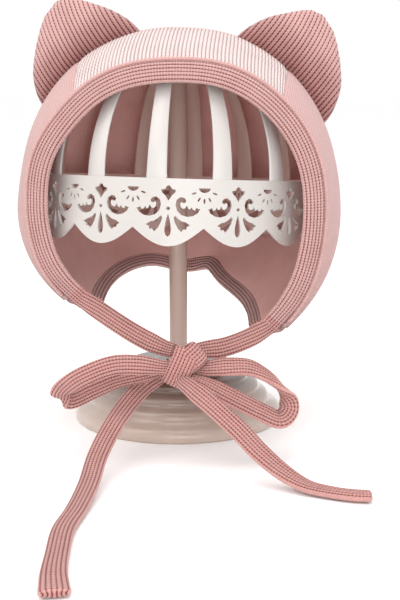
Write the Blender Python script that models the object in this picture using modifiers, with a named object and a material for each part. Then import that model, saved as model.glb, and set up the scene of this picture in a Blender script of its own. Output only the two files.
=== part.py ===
# Baby hat with ears: a knitted bonnet tied under the chin, on a lace-edged hat stand.
# Metres, +Z up. The origin is the centre of the foot's underside, and the face opening looks to -Y.
import math

import bmesh
import bpy
import numpy as np
from mathutils import Matrix, Vector

MM = 0.001
GAP = 0.3 * MM

# The hat, its ties and the dome it is stretched over follow the hat's reach from the cheek corners
# to the crown. They are measured in HAT_MM, of which the reach always counts the same number.
HAT_REACH = 161 * MM
HAT_REACH_COUNT = 161
HAT_MM = HAT_REACH / HAT_REACH_COUNT

# Hat form. Sections swing round a line that joins the two cheek corners.
CORNER_HALF = 42 * HAT_MM
CORNER_Y = -48 * HAT_MM
CORNER_Z = 66 * HAT_MM
CORNER_ROUND = 7 * HAT_MM
HAT_HALF_WIDTH = 83.4 * HAT_MM
HAT_PIVOT_Z = 135 * HAT_MM
HAT_ROLL = math.radians(2.0)
HAT_YAW = math.radians(-2.6)
HAT_SHIFT = 2.2 * HAT_MM
CROWN_POWER = 2.15
CROWN_FLAT = 1.2 * HAT_MM
CROWN_FLAT_HALF = 25 * HAT_MM
# How far the left and the right cheek corner hang below the level, and spread outwards
CHEEK_DROOP = (3.0 * HAT_MM, 12.0 * HAT_MM)
CHEEK_SPREAD = (0.0, 3.4 * HAT_MM)
CHEEK_POWER = 3
# The nape sags in its middle over the last part of the swing
NAPE_DIP = 4.5 * HAT_MM
NAPE_DIP_HALF = 16 * HAT_MM
NAPE_DIP_FROM = 0.7
SECTION_COLUMNS = ("angle", "reach", "widest", "half_width", "seam")
# angle: degrees above the level back; reach, widest: shares of HAT_REACH, along the half-plane;
# half_width, seam: shares of HAT_HALF_WIDTH, out from the middle
SECTIONS = (
    (92.5, 0.770, 0.305, 0.902, 0.601),
    (86.0, 0.826, 0.315, 0.930, 0.616),
    (79.0, 0.880, 0.325, 0.956, 0.629),
    (71.0, 0.926, 0.335, 0.982, 0.631),
    (60.0, 0.970, 0.350, 1.000, 0.610),
    (48.0, 0.988, 0.400, 0.995, 0.560),
    (34.0, 0.970, 0.450, 0.965, 0.490),
    (21.5, 0.902, 0.440, 0.865, 0.400),
    (12.5, 0.820, 0.350, 0.710, 0.310),
    (6.0, 0.748, 0.220, 0.535, 0.250),
)
PANEL_WALL = 2.0 * HAT_MM
LINING_WALL = 1.0 * HAT_MM
PANEL_STEPS = 16
SIDE_STEPS = 7
CENTRE_STEPS = 8

# Bindings: ribbed strips that close the face edge and the neck edge
BINDING_WIDTH = 10.5 * HAT_MM
BINDING_THICK = 5.0 * HAT_MM
BINDING_LEAN = math.radians(22)
BINDING_FORWARD = 1.4 * HAT_MM
NECK_BINDING_WIDTH = 8.5 * HAT_MM
NECK_BINDING_THICK = 4.6 * HAT_MM
NECK_BINDING_REACH = 0.94
BINDING_STEPS = 28

# Ears: padded rib cones seated on the crown
EAR_BASE_IN = {-1: (25.5 * HAT_MM, 206.5 * HAT_MM), 1: (30 * HAT_MM, 206.5 * HAT_MM)}
EAR_BASE_OUT = {-1: (74.3 * HAT_MM, 166.5 * HAT_MM), 1: (77.3 * HAT_MM, 165.5 * HAT_MM)}
EAR_HEIGHT = {-1: 33.5 * HAT_MM, 1: 31.5 * HAT_MM}
EAR_Y = -9 * HAT_MM
EAR_HALF_THICK = 10 * HAT_MM
EAR_SIDES = 14
CUTTER_WALL = 14 * HAT_MM
EAR_COLUMNS = ("height", "length", "thick", "lean")
# height: share of the side's EAR_HEIGHT; length: share of the half base; thick: share of EAR_HALF_THICK;
# lean: share of the half base, positive towards the outer end
EAR_ROWS = (
    (-0.20, 1.00, 1.00, 0.00),
    (0.00, 1.00, 1.00, 0.00),
    (0.22, 0.92, 0.96, 0.00),
    (0.45, 0.77, 0.86, -0.03),
    (0.66, 0.58, 0.70, -0.07),
    (0.83, 0.40, 0.53, -0.12),
    (0.94, 0.24, 0.34, -0.16),
    (1.00, 0.08, 0.12, -0.20),
)

# Ties and bow
TIE_WIDTH = 9.5 * HAT_MM
TIE_THICK = 3.6 * HAT_MM
KNOT = Vector((3.4, -80.0, 47.5)) * HAT_MM
KNOT_HALF = Vector((8.5, 6.5, 9.0)) * HAT_MM
KNOT_TILT = math.radians(20)
KNOT_CLEARANCE = 1.5 * GAP
KNOT_PINCH = 0.5
PINCH_REACH = 20 * HAT_MM
# Each route: x, y, z in millimetres from the knot, and the way the flat side faces,
# in degrees up from the front
TIE_ROUTES = {
    "bow_loop_left": (
        (-5, -3.0, -1.0, 15), (-10.5, -3.5, -0.5, 15), (-21, -5, 1.0, 20), (-32, -6, 1.0, 15),
        (-43, -7, -2.5, 10), (-52, -6, -7.5, 0), (-58, -1, -13.5, -60), (-54, 5, -18.5, -170),
        (-43, 7, -14.0, -185), (-32, 6, -9.0, -190), (-21, 4.8, -6.0, -190),
        (-10.8, 3.4, -3.5, -190), (-5, 2.6, -2.5, -190),
    ),
    "bow_loop_right": (
        (4, 1.0, -1.0, 35), (10.8, 0.5, -2.0, 35), (21, -0.5, -1.0, 42), (32, 0.5, -1.8, 55),
        (42, 2, -7.5, 80), (49, 1, -15.0, 120), (50.5, -2, -21.5, 190), (46, -5, -26.0, 255),
        (38, -6, -23.5, 275), (27, -6, -18.5, 275), (17.5, -5, -13.5, 275),
        (10.8, -4, -10.0, 275), (4, -3.0, -7.2, 275),
    ),
    "tie_left_tail": (
        (0, 5.5, -3.5, 0), (-5.5, 9.8, -5.5, 0), (-12, 11.5, -8.5, 5), (-19.5, 9.0, -13.5, 15),
        (-26.5, 0.0, -20.0, 25), (-33, -16, -27.0, 40), (-38, -31, -35.0, 55), (-40.5, -49, -41.8, 75),
        (-43.5, -70, -45.0, 90), (-46.5, -92, -45.2, 90), (-46, -116, -45.2, 90),
        (-43.7, -134, -45.2, 90), (-41, -150.5, -45.2, 90),
    ),
    "tie_right_tail": (
        (0, -2.5, -5.0, 20), (0.2, -7.5, -6.2, 25), (4.5, -13.2, -8.2, 35), (13.6, -20.5, -14.0, 40),
        (25.7, -27, -23.8, 45), (35, -33, -32.3, 55), (45.3, -38.8, -39.8, 70), (55.5, -44.5, -44.2, 85),
        (66, -49.5, -45.2, 90), (75, -53, -45.2, 90), (83, -54, -45.2, 90),
    ),
}
# The straps pass these places on their way from the binding to the knot
STRAP_ROUTES = {
    "tie_left_strap": ((-32, 17.5, 16.5, 20), (-20, 11.5, 10.5, 20), (-10, 8.2, 6.5, 20), (-4, 5, 5.5, 20)),
    "tie_right_strap": ((32, 19.5, 8.3, 20), (20, 13.5, 5.2, 20), (10.6, 10, 4.8, 15), (4, 6.5, 4.6, 15)),
}
STRAP_START_FACING = 12
TIE_SAMPLES = 2

# Stand: foot, post, and a domed cage of strips over a lace-cut band
FOOT_RADIUS = 56 * MM
FOOT_HEIGHT = 31 * MM
FOOT_COLUMNS = ("radius", "height")
# radius: share of FOOT_RADIUS; height: share of FOOT_HEIGHT
FOOT_ROWS = (
    (0.00, 1.00), (0.25, 1.00), (0.48, 0.96), (0.56, 0.88), (0.60, 0.80), (0.69, 0.72),
    (0.72, 0.62), (0.80, 0.54), (0.83, 0.43), (0.90, 0.36), (0.92, 0.24), (0.985, 0.17),
    (1.00, 0.10), (1.00, 0.00),
)
FOOT_SIDES = 30
POST_RADIUS = 4.8 * MM
POST_SIDES = 20
CAGE_RADIUS = 70.5 * HAT_MM
CAGE_CENTRE_Z = 129.5 * HAT_MM
CAGE_TILT = math.radians(4.0)
CAGE_ROLL = math.radians(1.7)
METAL = 1.3 * MM
BAY_COUNT = 13
BAY_TURN = math.radians(-2.4)
RIB_COUNT = 14
RIB_TURN = math.radians(-7.2)
RIB_FOOT_WIDTH = 9.8 * MM
RIB_TOP_WIDTH = 4.5 * MM
RIB_STEPS = 6
RIB_INSET = 0.2 * METAL
CAP_EDGE_RADIUS = 15.7 * MM
CAP_TOP_RADIUS = 10.5 * MM
CAP_RISE = 0.9 * HAT_MM
CAP_THICK = 2 * METAL
BAND_HEIGHT = 31.8 * HAT_MM
SCALLOP_DEPTH = 8.7 * HAT_MM
BAND_SEGMENTS = 2
BAND_STEPS = 6
# Gaps of one bay, in shares of its width from the middle and of its height from the top.
# The paired ones are drawn on the right and mirrored.
STAR_GAP = ((-0.09, -0.17), (0.0, -0.12), (0.09, -0.17), (0.0, -0.31))
DROP_GAP = ((0.0, -0.54), (0.035, -0.77), (0.0, -0.83), (-0.035, -0.77))
LEAF_GAP = ((0.07, -0.60), (0.27, -0.68), (0.17, -0.77), (0.10, -0.70))
HALF_ROUND_GAP = ((0.42, -0.13), (0.485, -0.13), (0.485, -0.21), (0.44, -0.19))
# Each side of the crescent: middle, half sizes, first angle and sweep in degrees, steps
SCROLL_COLUMNS = ("middle", "half_sizes", "start", "sweep", "steps")
SCROLL_SIDES = (
    ((0.29, -0.46), (0.155, 0.115), -200, 235, 4),
    ((0.29, -0.44), (0.075, 0.045), 20, -195, 2),
)


def clear_scene():
    for item in list(bpy.data.objects):
        bpy.data.objects.remove(item, do_unlink=True)


def make_collection(name):
    collection = bpy.data.collections.new(name)
    bpy.context.scene.collection.children.link(collection)
    return collection


def make_material(name, colour, roughness, metallic=0.0):
    material = bpy.data.materials.new(name)
    material.use_nodes = True
    shader = material.node_tree.nodes["Principled BSDF"]
    shader.inputs["Base Color"].default_value = (*colour, 1.0)
    shader.inputs["Roughness"].default_value = roughness
    shader.inputs["Metallic"].default_value = metallic
    return material


def add_mesh_object(name, mesh, material, collection, smooth=True):
    item = bpy.data.objects.new(name, mesh)
    item.data.materials.append(material)
    if smooth:
        mesh.shade_smooth()
        mesh.set_sharp_from_angle(angle=math.radians(40))
    collection.objects.link(item)
    return item


def mesh_from_bmesh(name, bm):
    bmesh.ops.recalc_face_normals(bm, faces=bm.faces)
    mesh = bpy.data.meshes.new(name)
    bm.to_mesh(mesh)
    bm.free()
    return mesh


def smooth_rows(rows, position):
    """Catmull-Rom between the rows; position counts rows from 0."""
    rows = np.asarray(rows, dtype=float)
    last = len(rows) - 1
    index = min(int(position), last - 1)
    t = position - index
    a = rows[max(index - 1, 0)]
    b = rows[index]
    c = rows[index + 1]
    d = rows[min(index + 2, last)]
    return 0.5 * (2 * b + (c - a) * t + (2 * a - 5 * b + 4 * c - d) * t ** 2
                  + (3 * b - a - 3 * c + d) * t ** 3)


# Hat surface: swing runs from 0 at the face edge to 1 at the neck edge,
# along runs from -1 at the left cheek corner to 1 at the right one
def section_at(swing):
    row = smooth_rows(SECTIONS, swing * (len(SECTIONS) - 1))
    section = dict(zip(SECTION_COLUMNS, row))
    section["angle"] = math.radians(section["angle"])
    section["reach"] *= HAT_REACH
    section["widest"] *= HAT_REACH
    section["half_width"] *= HAT_HALF_WIDTH
    section["seam"] *= HAT_HALF_WIDTH
    narrow = CORNER_HALF / section["half_width"]
    section["drop"] = section["widest"] / math.sqrt(1 - narrow ** 2)
    section["end"] = -math.asin((section["widest"] - CORNER_ROUND) / section["drop"])
    return section


def hat_point(swing, along):
    section = section_at(swing)
    turn = math.pi / 2 - abs(along) * (math.pi / 2 - section["end"])
    radius = section["widest"] + section["drop"] * math.sin(turn)
    x = section["half_width"] * math.cos(turn)
    if turn > 0:
        arch = (1 - math.cos(turn) ** CROWN_POWER) ** (1 / CROWN_POWER)
        radius = section["widest"] + (section["reach"] - section["widest"]) * arch
        radius -= CROWN_FLAT * math.exp(-(x / CROWN_FLAT_HALF) ** 2)
    side = 0 if along < 0 else 1
    hang = abs(along) ** CHEEK_POWER
    late = max(swing - NAPE_DIP_FROM, 0) / (1 - NAPE_DIP_FROM)
    dip = NAPE_DIP * late ** 2 * math.exp(-(x / NAPE_DIP_HALF) ** 2)
    return Vector((math.copysign(x + CHEEK_SPREAD[side] * hang, along),
                   CORNER_Y + radius * math.cos(section["angle"]),
                   CORNER_Z + radius * math.sin(section["angle"]) - CHEEK_DROOP[side] * hang - dip))


def hat_directions(swing, along, step=0.004):
    """Unit tangents across and towards the neck, and the outward normal."""
    low_swing, high_swing = max(swing - step, 0.0), min(swing + step, 1.0)
    low_along, high_along = max(along - step, -1.0), min(along + step, 1.0)
    across = hat_point(swing, high_along) - hat_point(swing, low_along)
    back = hat_point(high_swing, along) - hat_point(low_swing, along)
    across.normalize()
    back.normalize()
    normal = across.cross(back).normalized()
    if normal.dot(hat_point(swing, along) - Vector((0, 0, HAT_PIVOT_Z))) < 0:
        normal.negate()
    return across, back, normal


def hat_offset(swing, along, depth):
    """A point at depth inside the hat's outer surface."""
    return hat_point(swing, along) - hat_directions(swing, along)[2] * depth


def seam_along(swing):
    section = section_at(swing)
    turn = math.acos(section["seam"] / section["half_width"])
    return (math.pi / 2 - turn) / (math.pi / 2 - section["end"])


def panel_mesh(name, columns, depth, wall):
    """A closed knitted panel; columns gives the along values of its columns at a swing."""
    outer, inner = [], []
    for row in range(PANEL_STEPS + 1):
        swing = row / PANEL_STEPS
        for along in columns(swing):
            outer.append(hat_offset(swing, along, depth))
            inner.append(hat_offset(swing, along, depth + wall))
    steps = len(columns(0.0)) - 1
    bm = bmesh.new()
    layers = [[bm.verts.new(point) for point in layer] for layer in (outer, inner)]
    width = steps + 1

    def corners(row, column):
        first = row * width + column
        return first, first + 1, first + 1 + width, first + width

    for row in range(PANEL_STEPS):
        for column in range(steps):
            for layer in layers:
                bm.faces.new([layer[index] for index in corners(row, column)])
    rim = [column for column in range(width)]
    rim += [row * width + steps for row in range(1, PANEL_STEPS + 1)]
    rim += [PANEL_STEPS * width + column for column in range(steps - 1, -1, -1)]
    rim += [row * width for row in range(PANEL_STEPS - 1, 0, -1)]
    for first, second in zip(rim, rim[1:] + rim[:1]):
        bm.faces.new([layers[0][first], layers[0][second], layers[1][second], layers[1][first]])
    return mesh_from_bmesh(name, bm)


def spread(low, high, steps):
    return [low + (high - low) * step / steps for step in range(steps + 1)]


def panel_columns(side):
    """Columns of a panel: side 0 is the centre panel, -1 and 1 are the side panels."""
    def columns(swing):
        seam = seam_along(swing)
        gap = GAP / HAT_REACH
        if side == 0:
            return spread(-seam + gap, seam - gap, CENTRE_STEPS)
        edges = spread(seam + gap, 1.0, SIDE_STEPS)
        return edges if side > 0 else [-along for along in reversed(edges)]
    return columns


def lining_columns(swing):
    """The lining's columns lie under the panels' own, so the two never touch."""
    seam = seam_along(swing)
    edges = spread(seam, 1.0, SIDE_STEPS)
    return [-along for along in reversed(edges)] + spread(-seam, seam, CENTRE_STEPS)[1:-1] + edges


def strip_profile(width, thick):
    """Outline of a knitted strip's cross-section: a rectangle with cut corners."""
    cut = 0.3 * thick
    across, deep = width / 2, thick / 2
    return ((-across, deep - cut), (-across, cut - deep), (cut - across, -deep), (across - cut, -deep),
            (across, cut - deep), (across, deep - cut), (across - cut, deep), (cut - across, deep))


def pinch_at(point):
    """Share of its full width that a tie keeps at a point, as the knot squeezes it."""
    return min(1.0, KNOT_PINCH + (1 - KNOT_PINCH) * (point - KNOT).length / PINCH_REACH)


def strip_mesh(name, centres, normals, width, thick, share_at=lambda point: 1.0):
    """A strip lofted along centres; each normal is the way its flat side faces."""
    bm = bmesh.new()
    rings = []
    last = len(centres) - 1
    for index, (centre, normal) in enumerate(zip(centres, normals)):
        ahead = (centres[min(index + 1, last)] - centres[max(index - 1, 0)]).normalized()
        side = ahead.cross(normal).normalized()
        face = side.cross(ahead).normalized()
        rings.append([bm.verts.new(centre + side * across * share_at(centre) + face * deep)
                      for across, deep in strip_profile(width, thick)])
    for ring, following in zip(rings, rings[1:]):
        for index in range(len(ring)):
            after = (index + 1) % len(ring)
            bm.faces.new((ring[index], ring[after], following[after], following[index]))
    bm.faces.new(rings[0])
    bm.faces.new(rings[-1])
    return mesh_from_bmesh(name, bm)


def face_binding_path():
    centres, normals = [], []
    middle_depth = (PANEL_WALL + GAP + LINING_WALL) / 2
    for step in range(BINDING_STEPS + 1):
        along = -1 + 2 * step / BINDING_STEPS
        across, back, normal = hat_directions(0.0, along)
        forward = Vector((0, -1, 0))
        inward = across.cross(forward).normalized()
        if inward.dot(Vector((0, 0, HAT_PIVOT_Z)) - hat_point(0.0, along)) < 0:
            inward.negate()
        width_way = inward * math.cos(BINDING_LEAN) + forward * math.sin(BINDING_LEAN)
        edge = hat_offset(0.0, along, middle_depth)
        centres.append(edge + width_way * (GAP + BINDING_WIDTH / 2)
                       + forward * BINDING_FORWARD)
        normals.append(width_way.cross(across).normalized())
    for normal in normals:
        if normal.y > 0:
            normal.negate()
    return centres, normals


def neck_binding_path():
    centres, normals = [], []
    middle_depth = (PANEL_WALL + GAP + LINING_WALL) / 2
    for step in range(BINDING_STEPS + 1):
        along = NECK_BINDING_REACH * (-1 + 2 * step / BINDING_STEPS)
        across, back, normal = hat_directions(1.0, along)
        width_way = across.cross(normal).normalized()
        if width_way.dot(back) < 0:
            width_way.negate()
        centres.append(hat_offset(1.0, along, middle_depth) + width_way * (2 * GAP + NECK_BINDING_WIDTH / 2))
        normals.append(normal)
    return centres, normals


def facing(degrees):
    angle = math.radians(degrees)
    return Vector((0, -math.cos(angle), math.sin(angle)))


def route_path(rows):
    """Samples a smooth curve through a route's rows."""
    centres, normals = [], []
    count = (len(rows) - 1) * TIE_SAMPLES
    for step in range(count + 1):
        x, y, z, turn = smooth_rows(rows, step / TIE_SAMPLES)
        centres.append(KNOT + Vector((x, y, z)) * HAT_MM)
        normals.append(facing(turn))
    return centres, normals


def ear_mesh(name, side):
    """A padded cone of oval sections that starts under the crown, which then trims it."""
    inner = Vector((side * EAR_BASE_IN[side][0], EAR_Y, EAR_BASE_IN[side][1]))
    outer = Vector((side * EAR_BASE_OUT[side][0], EAR_Y, EAR_BASE_OUT[side][1]))
    middle = (inner + outer) / 2
    half_base = (outer - inner).length / 2
    length_way = (outer - inner).normalized()
    thick_way = Vector((0, side, 0))
    up = thick_way.cross(length_way)
    if up.z < 0:
        up.negate()
    bm = bmesh.new()
    rings = []
    for row in EAR_ROWS:
        ear = dict(zip(EAR_COLUMNS, row))
        centre = middle + up * ear["height"] * EAR_HEIGHT[side] + length_way * ear["lean"] * half_base
        ring = []
        for step in range(EAR_SIDES):
            turn = 2 * math.pi * step / EAR_SIDES
            point = (centre + length_way * math.cos(turn) * ear["length"] * half_base
                     + thick_way * math.sin(turn) * ear["thick"] * EAR_HALF_THICK)
            ring.append(bm.verts.new(point))
        rings.append(ring)
    for ring, following in zip(rings, rings[1:]):
        for index in range(EAR_SIDES):
            after = (index + 1) % EAR_SIDES
            bm.faces.new((ring[index], ring[after], following[after], following[index]))
    bm.faces.new(rings[0])
    bm.faces.new(rings[-1])
    return mesh_from_bmesh(name, bm)


def crown_cutter(material, cutters):
    """A thick copy of the crown, a gap outside it, that gives each ear its seat."""
    mesh = panel_mesh("crown_cutter", lining_columns, -GAP, CUTTER_WALL)
    cutter = add_mesh_object("crown_cutter", mesh, material, cutters)
    cutter.hide_render = True
    cutter.display_type = "WIRE"
    return cutter


def knot_mesh(name, grow=0.0):
    bm = bmesh.new()
    bmesh.ops.create_uvsphere(bm, u_segments=14, v_segments=8, radius=1.0)
    bmesh.ops.scale(bm, vec=KNOT_HALF + Vector((grow, grow, grow)), verts=bm.verts)
    bmesh.ops.rotate(bm, cent=(0, 0, 0), matrix=Matrix.Rotation(KNOT_TILT, 3, "Y"), verts=bm.verts)
    return mesh_from_bmesh(name, bm)


# Lace band: one bay drawn flat, with its gaps, then bent and repeated round the band
def scroll_outline():
    """A crescent that curls up beside the bay's middle, outer side first."""
    outline = []
    for row in SCROLL_SIDES:
        arc = dict(zip(SCROLL_COLUMNS, row))
        steps = round(arc["steps"])
        for step in range(steps + 1):
            angle = math.radians(arc["start"] + arc["sweep"] * step / steps)
            outline.append((arc["middle"][0] - arc["half_sizes"][0] * math.cos(angle),
                            arc["middle"][1] + arc["half_sizes"][1] * math.sin(angle)))
    return outline


def bay_gaps():
    gaps = [STAR_GAP, DROP_GAP]
    for side in (-1, 1):
        for gap in (scroll_outline(), LEAF_GAP, HALF_ROUND_GAP):
            gaps.append([(side * x, y) for x, y in gap])
    return gaps


def bay_outline(width):
    outline = [(width / 2, 0.0), (-width / 2, 0.0)]
    for step in range(BAND_STEPS + 1):
        share = -0.5 + step / BAND_STEPS
        drop = BAND_HEIGHT - SCALLOP_DEPTH * (1 - math.cos(math.pi * share))
        outline.append((share * width, -drop))
    return outline


def bay_mesh():
    """One flat bay from a filled curve, cut into upright strips so that it bends."""
    width = 2 * math.pi * CAGE_RADIUS / BAY_COUNT
    curve = bpy.data.curves.new("bay", "CURVE")
    curve.dimensions = "2D"
    curve.fill_mode = "BOTH"
    curve.extrude = METAL / 2
    outlines = [bay_outline(width)]
    outlines += [[(x * width, y * BAND_HEIGHT) for x, y in gap] for gap in bay_gaps()]
    for outline in outlines:
        spline = curve.splines.new("POLY")
        spline.points.add(len(outline) - 1)
        for point, (x, y) in zip(spline.points, outline):
            point.co = (x, y, 0, 1)
        spline.use_cyclic_u = True
    item = bpy.data.objects.new("bay", curve)
    bpy.context.scene.collection.objects.link(item)
    bpy.context.view_layer.update()
    evaluated = item.evaluated_get(bpy.context.evaluated_depsgraph_get())
    mesh = bpy.data.meshes.new_from_object(evaluated)
    bpy.data.objects.remove(item)
    bm = bmesh.new()
    bm.from_mesh(mesh)
    bmesh.ops.remove_doubles(bm, verts=bm.verts, dist=0.01 * MM)
    for step in range(1, BAND_SEGMENTS):
        place = (step / BAND_SEGMENTS - 0.5) * width
        bmesh.ops.bisect_plane(bm, geom=bm.verts[:] + bm.edges[:] + bm.faces[:], dist=0.01 * MM,
                               plane_co=(place, 0, 0), plane_no=(1, 0, 0))
    ends = [face for face in bm.faces
            if all(abs(abs(vert.co.x) - width / 2) < 0.01 * MM for vert in face.verts)]
    bmesh.ops.delete(bm, geom=ends, context="FACES_ONLY")
    return bm


def bend_point(point, turn):
    """Takes a flat bay's point on to the band, whose upright strips are flat."""
    strip = 2 * math.pi / BAY_COUNT / BAND_SEGMENTS
    place = (point.x / CAGE_RADIUS) / strip + BAND_SEGMENTS / 2
    index = min(max(int(place + 1e-4), 0), BAND_SEGMENTS - 1)
    radius = CAGE_RADIUS - METAL / 2 + point.z
    start, end = (turn + (index + side - BAND_SEGMENTS / 2) * strip for side in (0, 1))
    low = Vector((radius * math.sin(start), -radius * math.cos(start), point.y))
    high = Vector((radius * math.sin(end), -radius * math.cos(end), point.y))
    return low.lerp(high, place - index)


def lace_band():
    flat = bay_mesh()
    ring = bmesh.new()
    for bay in range(BAY_COUNT):
        turn = BAY_TURN + 2 * math.pi * bay / BAY_COUNT
        placed = {vert: ring.verts.new(bend_point(vert.co, turn)) for vert in flat.verts}
        for face in flat.faces:
            ring.faces.new([placed[vert] for vert in face.verts])
    flat.free()
    bmesh.ops.remove_doubles(ring, verts=ring.verts, dist=0.02 * MM)
    bmesh.ops.dissolve_limit(ring, angle_limit=math.radians(1), verts=ring.verts, edges=ring.edges)
    bmesh.ops.triangulate(ring, faces=ring.faces)
    return mesh_from_bmesh("lace_band", ring)


def strip_of_dome(name, turn):
    """One curved strip of the dome, from the band's top edge to the cap's rim."""
    bm = bmesh.new()
    rings = []
    outer = CAGE_RADIUS - RIB_INSET
    inner = outer - METAL
    low = GAP / inner
    high = math.acos((CAP_EDGE_RADIUS + GAP) / inner)
    for step in range(RIB_STEPS + 1):
        share = step / RIB_STEPS
        rise = low + (high - low) * share
        half = (RIB_FOOT_WIDTH + (RIB_TOP_WIDTH - RIB_FOOT_WIDTH) * share) / 2
        ring = []
        for radius, side in ((outer, -half), (outer, half), (inner, half), (inner, -half)):
            level = radius * math.cos(rise)
            ring.append(bm.verts.new(Matrix.Rotation(turn, 3, "Z")
                                     @ Vector((side, -level, radius * math.sin(rise)))))
        rings.append(ring)
    for ring, following in zip(rings, rings[1:]):
        for index in range(len(ring)):
            after = (index + 1) % len(ring)
            bm.faces.new((ring[index], ring[after], following[after], following[index]))
    bm.faces.new(rings[0])
    bm.faces.new(rings[-1])
    return mesh_from_bmesh(name, bm)


def cap_mesh():
    bm = bmesh.new()
    bmesh.ops.create_cone(bm, cap_ends=True, segments=RIB_COUNT, radius1=CAP_EDGE_RADIUS,
                          radius2=CAP_TOP_RADIUS, depth=CAP_THICK)
    bmesh.ops.translate(bm, verts=bm.verts, vec=(0, 0, CAGE_RADIUS + CAP_RISE - CAP_THICK / 2))
    return mesh_from_bmesh("dome_cap", bm)


def build_cage(material, collection):
    """The cage is a lace band, the strips that rise from it, and the cap that gathers them."""
    pieces = [add_mesh_object("lace_band", lace_band(), material, collection)]
    for rib in range(RIB_COUNT):
        name = f"dome_strip_{rib + 1:02d}"
        turn = RIB_TURN + 2 * math.pi * rib / RIB_COUNT
        pieces.append(add_mesh_object(name, strip_of_dome(name, turn), material, collection))
    pieces.append(add_mesh_object("dome_cap", cap_mesh(), material, collection))
    seat = Matrix.Rotation(CAGE_ROLL, 4, "Y") @ Matrix.Rotation(-CAGE_TILT, 4, "X")
    for piece in pieces:
        piece.matrix_world = Matrix.Translation((0, 0, CAGE_CENTRE_Z)) @ seat


def build_foot(material, collection):
    rows = [dict(zip(FOOT_COLUMNS, row)) for row in FOOT_ROWS]
    points = [(row["radius"] * FOOT_RADIUS, row["height"] * FOOT_HEIGHT) for row in rows]
    points.append((0.0, 0.0))
    mesh = bpy.data.meshes.new("stand_foot")
    mesh.from_pydata([(x, 0, z) for x, z in points], [(i, i + 1) for i in range(len(points) - 1)], [])
    foot = add_mesh_object("stand_foot", mesh, material, collection, smooth=False)
    turn = foot.modifiers.new("turn", "SCREW")
    turn.steps = FOOT_SIDES
    turn.render_steps = FOOT_SIDES
    turn.use_merge_vertices = True
    turn.merge_threshold = 0.05 * MM


def build_post(material, collection):
    lean = math.hypot(CAGE_TILT, CAGE_ROLL)
    under_cap = (CAGE_RADIUS + CAP_RISE - CAP_THICK) / math.cos(lean)
    top = CAGE_CENTRE_Z + under_cap - POST_RADIUS * math.tan(lean) - GAP
    bottom = FOOT_HEIGHT + GAP
    bm = bmesh.new()
    bmesh.ops.create_cone(bm, cap_ends=True, segments=POST_SIDES, radius1=POST_RADIUS,
                          radius2=POST_RADIUS, depth=top - bottom)
    post = add_mesh_object("stand_post", mesh_from_bmesh("stand_post", bm), material, collection)
    post.location = (0, 0, (top + bottom) / 2)


def build_hat(materials, collection, cutters):
    """All that rolls with the hat hangs on one empty at the dome's centre."""
    pieces = []
    for name, side in (("side_panel_left", -1), ("side_panel_right", 1), ("centre_panel", 0)):
        mesh = panel_mesh(name, panel_columns(side), 0.0, PANEL_WALL)
        pieces.append(add_mesh_object(name, mesh, materials["rib" if side == 0 else "jersey"], collection))
    mesh = panel_mesh("lining", lining_columns, PANEL_WALL + GAP, LINING_WALL)
    pieces.append(add_mesh_object("lining", mesh, materials["lining"], collection))
    cutter = crown_cutter(materials["lining"], cutters)
    pieces.append(cutter)
    for name, side in (("ear_left", -1), ("ear_right", 1)):
        ear = add_mesh_object(name, ear_mesh(name, side), materials["ear"], collection)
        seat_at(ear, cutter)
        pieces.append(ear)
    centres, normals = face_binding_path()
    mesh = strip_mesh("face_binding", centres, normals, BINDING_WIDTH, BINDING_THICK)
    pieces.append(add_mesh_object("face_binding", mesh, materials["binding"], collection))
    centres, normals = neck_binding_path()
    mesh = strip_mesh("neck_binding", centres, normals, NECK_BINDING_WIDTH, NECK_BINDING_THICK)
    pieces.append(add_mesh_object("neck_binding", mesh, materials["binding"], collection))
    seat = bpy.data.objects.new("hat_seat", None)
    collection.objects.link(seat)
    for piece in pieces:
        piece.parent = seat
        piece.matrix_parent_inverse = Matrix.Translation((0, 0, -HAT_PIVOT_Z))
    seat.matrix_world = hat_seat_matrix()


def hat_seat_matrix():
    """How the hat sits on the stand: turned and rolled about the dome."""
    return (Matrix.Translation((HAT_SHIFT, 0, HAT_PIVOT_Z)) @ Matrix.Rotation(HAT_YAW, 4, "Z")
            @ Matrix.Rotation(HAT_ROLL, 4, "Y"))


def seat_at(piece, cutter):
    """Cuts a piece back to a cutter's outside."""
    trim = piece.modifiers.new("seat", "BOOLEAN")
    trim.operation = "DIFFERENCE"
    trim.solver = "EXACT"
    trim.object = cutter


def build_ties(material, collection, cutters):
    knot = add_mesh_object("bow_knot", knot_mesh("bow_knot"), material, collection)
    cutter = add_mesh_object("knot_cutter", knot_mesh("knot_cutter", KNOT_CLEARANCE), material, cutters)
    cutter.hide_render = True
    cutter.display_type = "WIRE"
    for item in (knot, cutter):
        item.location = KNOT
    seat = hat_seat_matrix() @ Matrix.Translation((0, 0, -HAT_PIVOT_Z))
    centres, normals = face_binding_path()
    paths = {name: route_path(rows) for name, rows in TIE_ROUTES.items()}
    for name, end, before in (("tie_left_strap", 0, 1), ("tie_right_strap", -1, -2)):
        last = seat @ centres[end]
        onward = (last - seat @ centres[before]).normalized()
        start = last + onward * 2 * GAP
        rows = [(*((start + onward * TIE_WIDTH / 2 - KNOT) / HAT_MM), STRAP_START_FACING), *STRAP_ROUTES[name]]
        path, faces = route_path(rows)
        paths[name] = [start, *path], [seat.to_3x3() @ normals[end], *faces]
    for name, (path, faces) in paths.items():
        mesh = strip_mesh(name, path, faces, TIE_WIDTH, TIE_THICK, pinch_at)
        seat_at(add_mesh_object(name, mesh, material, collection), cutter)


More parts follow.
